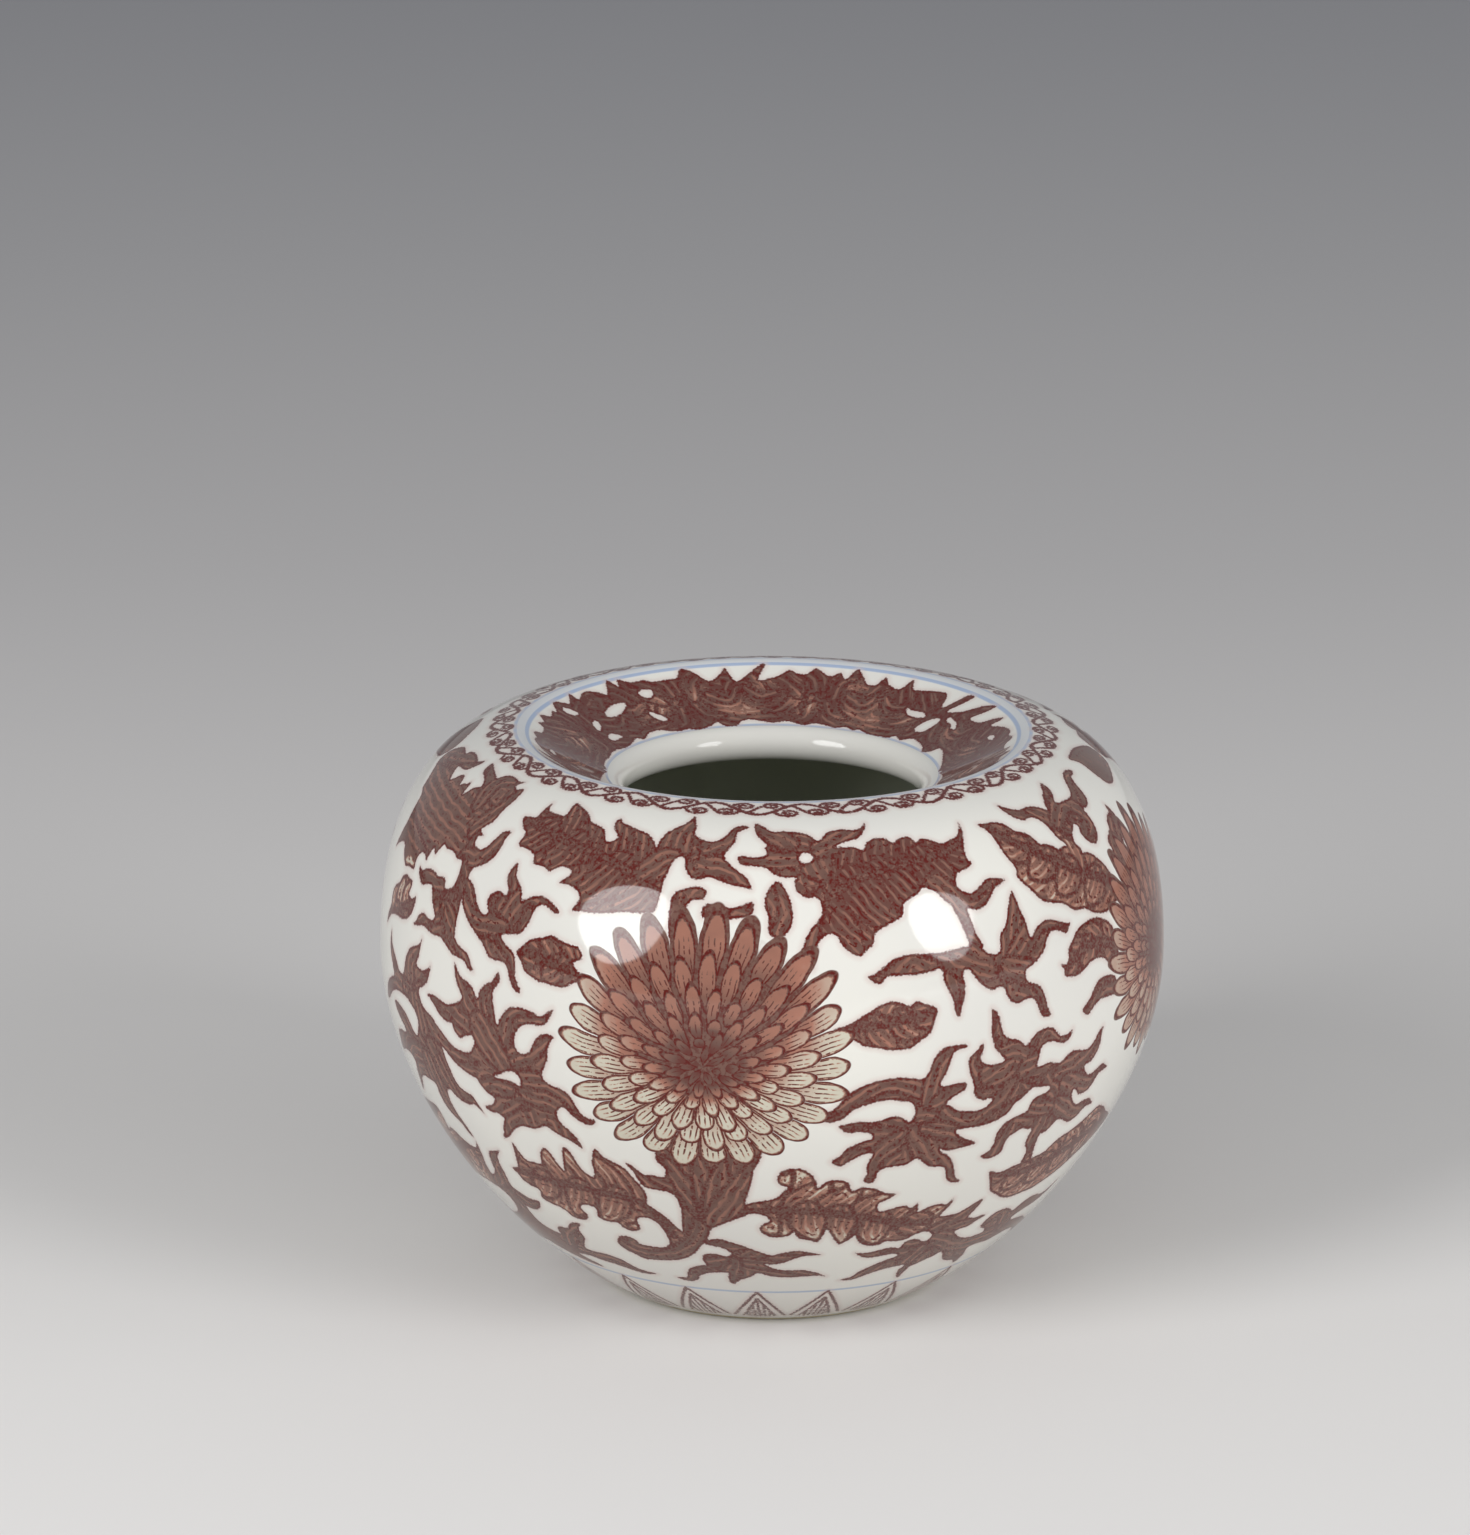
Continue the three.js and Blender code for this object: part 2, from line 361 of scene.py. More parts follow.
def stroke(on, path, width, form="tongue", tone=2.0, fade=None, streak=0.9, pitch=1.3,
           soft=SEAM, repeat=HALF_TURN):
    """Lays one stroke of half width in mm. Past its first quarter the tone goes over to fade.
    soft is how faint its outline is over older paint. The stroke is copied round the jar every
    repeat degrees."""
    line, place, side, run = spine(path)
    half_width = width * taper(form, run / run[-1])
    low, high = line[:, 1].min() - width - REACH, line[:, 1].max() + width + REACH
    rows = np.flatnonzero((on["rises"] >= low) & (on["rises"] <= high))
    if not len(rows):
        return
    radius = at_rise(outline[:, 0], line[:, 1]).min()
    margin = math.degrees((width + REACH) / radius)
    for turn in range(-2 * WHOLE_TURN, 2 * WHOLE_TURN + 1, repeat):
        start, end = line[:, 0].min() - margin + turn, line[:, 0].max() + margin + turn
        columns = np.flatnonzero((on["turns"] >= start) & (on["turns"] <= end))
        if not len(columns):
            continue
        angle = math.radians(turn)
        spun = np.array([[math.cos(angle), -math.sin(angle), 0],
                         [math.sin(angle), math.cos(angle), 0], [0, 0, 1]])
        spot = np.ix_(rows, columns)
        points = on["place"][spot].reshape(-1, 3)
        middle, sideways = place @ spun.T, side @ spun.T
        gap = np.linalg.norm(points[:, None] - middle[None], axis=2)
        inside = half_width[None] - gap
        best = inside.argmax(1)
        pick = np.arange(len(points))
        new = inside[pick, best]
        offset = ((points - middle[best]) * sideways[best]).sum(1)
        phase = offset / pitch + STREAK_SHIFT
        shade = np.full(len(points), float(tone))
        if fade is not None:
            shade += (fade - tone) * np.clip(run[best] / run[-1] * 1.3 - 0.3, 0, 1)
        blend(on, spot, len(rows), len(columns), new, phase, shade, streak, soft)


def blend(on, spot, rows, columns, new, phase, tone, streak, soft):
    """Paints a stroke's values over the older ones, and keeps distances true on both sides."""
    new = new.reshape(rows, columns)
    old = on["edge"][spot]
    both = (new > 0) & (old > 0)
    over = np.where(both, np.maximum(new, np.minimum(old, soft)), new)
    beside = np.where(old > 0, np.minimum(old, np.maximum(-new, soft)), np.maximum(old, new))
    on["edge"][spot] = np.clip(np.where(new > 0, over, beside), -REACH, DEEPEST)
    takes = (new > 0) | ((old <= 0) & (new >= old) & (new > -REACH))
    for name, value in (("phase", phase.reshape(rows, columns)),
                        ("tone", tone.reshape(rows, columns)), ("streak", streak)):
        on[name][spot] = np.where(takes, value, on[name][spot])


print("a stroke may swell to", FULLNESS, "times its listed width")

# %% [markdown]
# ## Leaves and closed outlines
# A leaf's lobes are short strokes that lean forward from its rib. Strokes alone end too softly,
# so the drawn outline of a motif is laid over them and cuts them to its shape.

# %% Leaf and closed outline
RIB_WIDTH, RIB_TONE = 0.4, 1.9   # half width in mm
LEAN, LEAST_LEAN = 0.55, 2.0     # how far back on the rib a lobe starts: share of its length, mm
BEND = 0.12                      # how much it curves
OUTLINE_STEPS = 3                # pieces of the smoothed outline between two listed points
MARGIN = (4, REACH)              # degrees and mm that count as near an outline


def leaf(on, rib, tips, width, **look):
    """A feathered leaf: a lobe runs from the rib to each tip, and the rib is laid over them."""
    line, place, _, run = spine(rib)
    for tip in tips:
        target = on_wall(tip[0], tip[1])
        gap = np.linalg.norm(place - target, axis=1)
        nearest = gap.argmin()
        back = max(LEAN * gap[nearest], LEAST_LEAN)
        start = np.interp(run[nearest] - back, run, np.arange(len(run)))
        start = line[int(round(start))]
        bend = 0.5 * (start + np.array(tip)) + BEND * (start - line[nearest])
        stroke(on, [start, bend, tip], width * FULLNESS, **look)
    stroke(on, rib, RIB_WIDTH, "stem", tone=RIB_TONE, streak=0)


def patch(on, points, hole=False):
    """Adds a closed outline of (degrees, rise) points to the painted shape, or cuts it out. Each
    short piece of the smoothed outline marks its distance on the points of the grid near it."""
    knots = np.array(points, float)
    before, after = np.roll(knots, 1, axis=0), np.roll(knots, -1, axis=0)
    last = np.roll(knots, -2, axis=0)
    share = np.linspace(0, 1, OUTLINE_STEPS, endpoint=False)[:, None, None]
    line = 0.5 * (2 * knots + (after - before) * share
                  + (2 * before - 5 * knots + 4 * after - last) * share**2
                  + (3 * knots - before - 3 * after + last) * share**3)
    line = line.transpose(1, 0, 2).reshape(-1, 2)
    turns, rises = on["turns"], on["rises"]
    turn_step, rise_step = turns[1] - turns[0], rises[1] - rises[0]
    for turn in range(-WHOLE_TURN, WHOLE_TURN + 1, HALF_TURN):
        path = line + (turn, 0)
        low, high = path.min(0) - MARGIN, path.max(0) + MARGIN
        if low[0] > turns[-1] or high[0] < turns[0] or low[1] > rises[-1] or high[1] < rises[0]:
            continue
        near, inside = np.full(on["edge"].shape, REACH), np.zeros(on["edge"].shape, bool)
        for a, b in zip(path, np.roll(path, -1, axis=0)):
            wide = math.radians(1) * float(at_rise(outline[:, 0], (a[1] + b[1]) / 2))
            c0 = max(int((min(a[0], b[0]) - REACH / wide - turns[0]) / turn_step), 0)
            c1 = int((max(a[0], b[0]) + REACH / wide - turns[0]) / turn_step) + 2
            r0 = max(int((min(a[1], b[1]) - REACH - rises[0]) / rise_step), 0)
            r1 = int((max(a[1], b[1]) + REACH - rises[0]) / rise_step) + 2
            if c1 > 0 and r1 > 0 and c0 < len(turns) and r0 < len(rises):
                x, y = (turns[c0:c1] - a[0])[None] * wide, (rises[r0:r1] - a[1])[:, None]
                run, climb = (b[0] - a[0]) * wide, b[1] - a[1]
                t = np.clip((x * run + y * climb) / (run**2 + climb**2 + 1e-9), 0, 1)
                gap = np.hypot(x - t * run, y - t * climb)
                near[r0:r1, c0:c1] = np.minimum(near[r0:r1, c0:c1], gap)
            crossed = np.flatnonzero((rises >= min(a[1], b[1])) & (rises < max(a[1], b[1])))
            for row in crossed:
                cross = a[0] + (rises[row] - a[1]) / (b[1] - a[1]) * (b[0] - a[0])
                inside[row] ^= turns > cross
        depth = np.where(inside, near, -near)
        if hole:
            on["shape"] = np.minimum(on["shape"], -depth)
        else:
            on["shape"] = np.maximum(on["shape"], depth)


def settle(on):
    """Trims the strokes to the painted shape. Inside it they only leave faint seams."""
    shape = on["shape"]
    seam = np.maximum(np.abs(on["edge"]), SEAM)
    on["edge"] = np.where(shape > 0, np.minimum(shape, seam), shape)


print("strokes inside an outline leave seams", SEAM, "mm deep")

# %% [markdown]
# ## Chrysanthemums
# The scroll's main flower is a chrysanthemum: rings of narrow petals round a dark middle. The
# outer ring is painted first and each inner ring over it, as on the jar. Lower petals are left
# cream with fine hairlines inside, and the upper and inner ones carry a salmon wash. A petal's
# outline is finer than the grid, so a point only keeps its place on the flower and how dusky the
# petals are there, and the material draws the petals from that.

# %% Places on the flowers
HEART_DROP = 0.14     # how far a flower's heart lies under its middle, as a share of its size
FLOWER_END = 1.25     # reach up to which a point counts as on the flower
FLOWERS = [  # middle in degrees and rise, half width and half height in mm, least dusk
    ((-9.5, 58), (19.3, 17.3), 0.0), ((75, 62), (15.8, 16.2), 0.5),
]


def beside(turn, middle):
    """Degrees from the nearer of a motif's two copies, which stand half a turn apart."""
    return (turn - middle + HALF_TURN / 2) % HALF_TURN - HALF_TURN / 2


def paint_flowers(on):
    """A flower's petals end at a reach of 1. Every point keeps its place on the nearest flower,
    because a jump in it would be drawn as a line. Dusk is 0 for cream petals, 1 for salmon ones
    and -1 away from the flowers."""
    turn, where = np.meshgrid(on["turns"], on["rises"])
    radius = at_rise(outline[:, 0], where)
    nearest = np.full(turn.shape, FAR)
    for (middle, height), (wide, high), least in FLOWERS:
        x = np.radians(beside(turn, middle)) * radius / wide
        y = (where - height) / high
        reach = np.hypot(x, y)
        warm = np.clip((1.1 * y + 1.6 * (0.62 - reach) + 0.35) / 0.8, 0, 1)
        dusk = least + (1 - least) * warm**2 * (3 - 2 * warm)
        y = y + HEART_DROP * np.maximum(1 - reach**2, 0)
        here = reach < nearest
        on["bloom"][here] = np.dstack([x, y, np.zeros_like(x)])[here]
        on["dusk"][here] = np.where(reach < FLOWER_END, dusk, -1.0)[here]
        nearest = np.minimum(nearest, reach)


print(len(FLOWERS), "flowers, each painted twice round the jar")

# %% [markdown]
# ## The scroll
# Leaves and flame-like sprigs fill the ground between the flowers. Each sprig is a handful of
# tapering tongues that grow out of one body, so a list of tongues is enough to draw it: half
# width in millimetres, then the points that the tongue passes through from its root to its tip.

# %% Sprigs
SPRIGS = [
    # Side flower at the upper left, and the sprig below it.
    (4.4, (-53.5, 78.5), (-63, 79.5), (-76, 80.5), (-90, 81)),
    (1.1, (-84, 85), (-78, 86.8), (-72.3, 88.2)), (1.1, (-61, 85), (-65, 87.5), (-69.8, 88.8)),
    (1.2, (-60, 83), (-61, 87), (-55.6, 88.8)), (1.5, (-56, 80), (-53, 84), (-54, 88)),
    (1.4, (-54, 79), (-55, 73), (-56, 68)), (1.6, (-55, 76), (-52, 76.5), (-48.7, 81.2)),
    (1.3, (-56, 72.5), (-61, 72), (-66.3, 71.8)), (1.4, (-56, 69), (-61, 67), (-64.5, 65.1)),
    (1.4, (-56, 69), (-51, 65.5), (-47.8, 62.9)), (1.3, (-55.5, 75), (-51, 71), (-46, 67.5)),
    # Sprig at the far left and its body.
    (2.0, (-65, 56), (-65.5, 60), (-61.3, 63.6)), (1.2, (-63, 56), (-59.5, 57.5), (-58.4, 61)),
    (1.3, (-67, 56), (-72, 57.5), (-73.2, 61)), (1.3, (-66, 56), (-72, 56), (-77, 53)),
    (1.3, (-66, 56), (-60, 54.5), (-54, 51), (-47, 50.5)), (2.6, (-63, 54), (-61, 46)),
    (1.3, (-62, 49.5), (-67, 52.5), (-72, 52.7)), (1.3, (-61, 48), (-68, 46.5), (-70, 40.5)),
    (1.9, (-61, 47), (-58.5, 41), (-55, 37.4)), (1.3, (-59, 50), (-54.5, 43.5), (-48.5, 42.8)),
    # Sprig left of the highlight.
    (1.7, (-44, 69), (-42.5, 73.5), (-43.7, 77.6)), (1.4, (-43, 69), (-39.5, 74), (-33.2, 72.9)),
    (1.4, (-44, 68.5), (-47.5, 71.5), (-46.3, 73.4)),
    (1.2, (-43.5, 69), (-40, 66.5), (-38.4, 61.9)), (1.2, (-43, 69.5), (-50, 69.5), (-55, 74)),
    # Swirl above the flower, upper middle left.
    (2.8, (-14, 82), (-12, 83), (-10.5, 82)), (2.0, (-17, 81), (-16.5, 86), (-14.8, 89.3)),
    (1.2, (-11, 84), (-7.5, 85.5), (-4.5, 88)), (1.3, (-11, 81.5), (-7, 81), (-3.2, 78.8)),
    (1.6, (-20, 80), (-17, 82), (-14, 82)),
    # Curl at the root of the upper right leaf.
    (2.6, (3, 84), (6, 83.5), (8, 80)), (1.2, (3, 85), (0, 86.5), (-3.5, 88.5)),
    (1.1, (4, 82.5), (-2, 82.5), (-7, 83)), (1.4, (8, 84), (13, 86), (17, 88.2)),
    (1.5, (26, 78), (31, 73.5), (38.3, 76.9)), (1.0, (4.5, 70), (6, 74), (8, 79)),
    # Small upright shoots on the flower's top.
    (1.7, (1.5, 71.5), (3, 76), (0.5, 79.7)), (1.0, (-9, 75), (-6, 77), (-2.8, 76.6)),
    # Sprig under the right highlight.
    (1.7, (26, 69.5), (20, 71.5), (14, 67.2)), (1.3, (26.5, 69.5), (26, 65.5), (27, 61.2)),
    (2.5, (26, 70), (31, 67.5), (37, 66)), (2.2, (36, 66), (37, 71), (38.7, 75.1)),
    (1.4, (37, 67), (42.5, 70.5), (48.8, 69.4)), (1.4, (36, 66), (41, 63.5), (43.3, 58.5)),
    # Upper right sprig.
    (1.4, (56, 81), (51, 85.5), (45, 87)), (1.0, (57, 82), (58, 86), (60.5, 87.7)),
    (1.5, (61, 82), (66.5, 86.5), (72.8, 86.6)), (1.3, (55, 82), (60, 84), (63.5, 80), (60, 78)),
    (1.2, (68, 72), (67, 76), (71, 80.5)), (1.6, (70, 74), (75, 76), (80, 77)),
    # Tongues left of the right flower.
    (1.1, (62, 60), (55, 61), (50.3, 57.3)),
    # Two sprigs right of the flower.
    (1.3, (35, 53), (32, 57), (32.6, 61)), (1.0, (32, 51), (29, 54), (31, 57)),
    (1.2, (37, 53), (42, 58), (47.8, 55.2)), (2.2, (33, 52.5), (37, 53.5), (41, 50)),
    (1.5, (24, 50), (29, 46.5), (34, 48), (38, 52)), (1.6, (39, 52), (43, 52), (46, 49)),
    (2.4, (45, 49), (47, 47), (46.5, 44)), (1.4, (46, 50), (51, 51), (55, 54)),
    (1.5, (48, 48), (54, 46), (58, 47.8)), (1.5, (47, 45), (53, 42), (57, 42.8)),
    (1.2, (45, 45), (43.5, 40), (43.8, 36.5)), (1.3, (45, 45), (37.5, 46.5), (35, 40)),
    # Sprig under them, towards the flower.
    (2.6, (18, 46.5), (21, 48.5), (24, 48)), (1.4, (24, 50.5), (17, 53.5), (8.5, 49.3)),
    (1.3, (23, 50), (24.5, 55), (28.3, 57)), (1.1, (20, 47), (15, 48.5), (10.3, 47)),
    (1.3, (19, 45.5), (12, 45), (9, 41.7)), (1.3, (19, 45), (15.5, 42), (15.3, 38.5)),
    (1.8, (22, 45), (26, 40), (30.8, 35.8)), (1.1, (23, 46), (28, 44.5), (31.8, 42.2)),
    (1.0, (24, 49.5), (27, 50.8), (28.5, 51.6)),
    # Stem under the flower, and its calyx.
    (1.5, (-10, 34), (-12, 27), (-18, 22.5), (-25, 21.5), (-29, 23.5), (-27, 25.8)),
    (1.7, (-9, 31), (-14, 37), (-18, 38.6), (-21.5, 40)), (1.7, (-9, 31), (-13, 37), (-16, 42)),
    (1.7, (-9, 31), (-10, 37), (-11, 43)), (1.7, (-9, 31), (-8, 37), (-7, 42.5)),
    (1.7, (-9, 31), (-5, 37), (-1.5, 43)),
    # Low sprig in the middle.
    (1.9, (-10, 23.5), (-6, 23)), (1.2, (-5, 23), (0, 25), (9, 24)),
    (1.1, (-5, 22), (3, 20.5), (12, 17.6)), (1.2, (-7, 22), (-8, 19.5), (-8, 15.7)),
    (1.1, (-9, 22), (-15, 20), (-19.8, 16.2)), (1.0, (-10, 25.5), (-4, 25.5)),
    # Low sprig on the right, with its long stem.
    (2.2, (29, 23), (33, 25)), (1.1, (28, 23.5), (20, 24.5), (16, 23.5)),
    (1.2, (29, 22), (21, 21), (15.5, 16.5)), (1.2, (30, 22), (28, 19), (29, 15.2)),
    (1.6, (31, 26), (36, 28), (38.6, 31)), (1.1, (33, 25.5), (38, 26), (41.8, 27)),
    (1.3, (34, 24), (38, 18.5), (45, 15.5)), (1.8, (33, 24), (42, 21), (52, 21), (62, 19.5)),
    (1.4, (60, 20), (75, 16), (90, 16.5), (105, 19)),
    (1.3, (51, 22), (48, 26.5), (42.8, 24.3)), (1.2, (51, 22), (55, 26), (61, 26.5)),
    # Sprig left of the flower.
    (2.8, (-40, 51), (-39, 46)), (1.6, (-45, 55), (-46.5, 60), (-42.4, 63.9)),
    (1.6, (-46, 55), (-50, 59), (-52, 63)), (1.2, (-47, 55), (-53, 57), (-58.7, 57)),
    (1.3, (-42, 52), (-40, 59), (-32.6, 60.4)), (1.4, (-41, 52), (-36, 54.5), (-32.5, 57)),
    (1.3, (-39, 50), (-32, 50), (-27, 46.1)), (1.2, (-38, 48), (-31.5, 47), (-29.3, 41.5)),
    (1.3, (-40, 47), (-45, 44), (-45.3, 39.8)), (1.1, (-41, 48), (-46, 47.5), (-47.4, 44)),
    (2.0, (-46, 56), (-43, 53), (-40, 50)),
    # Lower left.
    (1.6, (-55, 28), (-52, 33), (-48.2, 36.7)), (1.3, (-53, 27.5), (-48, 26), (-44.4, 28.2)),
    (1.6, (-72, 20), (-60, 22), (-53, 26)), (1.4, (-53, 27), (-50, 21), (-42, 18.5), (-34, 18.5),
     (-25, 16.2)), (1.5, (-45, 19.5), (-42, 23), (-36.3, 25.7)),
    (1.2, (-52, 21), (-46, 16), (-40.5, 14.6)), (1.4, (-90, 18), (-80, 22), (-70, 20)),
]

LEAVES = [  # rib, lobe tips, half width of a lobe, tone at the rib and at the tips
    (((-77, 62.5), (-70, 65.5), (-65.2, 68)), ((-71, 69.5), (-68, 69.6), (-69, 63.5)),
     1.5, 1.2, 0.1),
    (((-28, 66), (-33, 66.5), (-39.3, 67.5)), ((-31, 69), (-35, 69), (-34, 64.5), (-30.5, 63.8),
     (-39, 67.5)), 1.7, 2.0, 1.6),
    (((-15, 73), (-19, 78), (-26, 80.5), (-34, 82), (-41, 83), (-46, 84)),
     ((-18.5, 84), (-23.5, 86.5), (-29, 87.2), (-34.5, 87.5), (-39.5, 88), (-44.5, 87.2),
      (-47.5, 84), (-45, 80.2), (-38, 78.3), (-31, 74.8), (-24, 75)), 2.2, 2.3, 1.9),
    (((7, 76), (13, 79.5), (22, 81), (30, 82), (35, 84.5)),
     ((14, 85.5), (20, 86.5), (27, 87), (35.5, 86.5), (34, 80.5), (29, 77), (24, 74.5),
      (19, 73), (13, 70.3)), 2.3, 2.45, 2.05),
    (((10, 60.5), (16, 61), (23.7, 62)), ((13.5, 63.3), (17.5, 64), (21.5, 63.8), (13.5, 58.3),
     (17.5, 58), (21, 59.3), (23.7, 62)), 1.6, 1.9, 1.5),
    (((60, 72.5), (52, 76), (44, 80.5), (38.5, 84.8)),
     ((54, 79.5), (49, 82.5), (44, 84.5), (38.5, 85), (40, 80.5), (43.5, 76.5), (48, 73.5),
      (54, 71)), 1.8, 1.75, 1.1),
    (((61, 61), (57, 65), (52, 65.5), (46, 63.5)), ((57, 68), (52, 67.8), (48, 65.8), (46, 63),
     (51, 62.8), (55.5, 62.5)), 1.5, 1.85, 1.5),
    (((-6, 33), (3, 33.5), (13, 32), (22, 29.5), (28, 28.5)),
     ((3, 40), (9, 38.3), (14, 37.2), (20, 35.2), (25, 33), (31, 32.5), (27.5, 28),
      (19, 25.5), (12.5, 26.3), (8, 27.4), (1, 29)), 2.0, 1.8, 0.2),
    (((-17, 27), (-21, 33), (-30, 34), (-38, 34), (-46, 34)),
     ((-24.5, 39.5), (-29, 41), (-33.5, 40.5), (-38, 39.8), (-43, 38.5), (-46.5, 34),
      (-42, 30.3), (-36, 28), (-30, 28), (-25, 28)), 1.9, 1.75, 0.9),
    (((68, 37.5), (56, 35.5), (45, 34.5), (36.8, 36)), ((60, 39), (54, 38.8), (48, 38.2),
     (42, 38), (36.5, 36), (42, 32.3), (48, 31.8), (54, 32), (60, 33)), 1.8, 1.6, 1.1),
    (((-55, 35), (-62, 33.5), (-75, 28)), ((-60, 36), (-66, 34.5), (-72, 32), (-75, 28),
     (-68, 28), (-61, 30)), 1.6, 1.6, 0.8),
]


print(len(SPRIGS), "tongues and", len(LEAVES), "leaves")
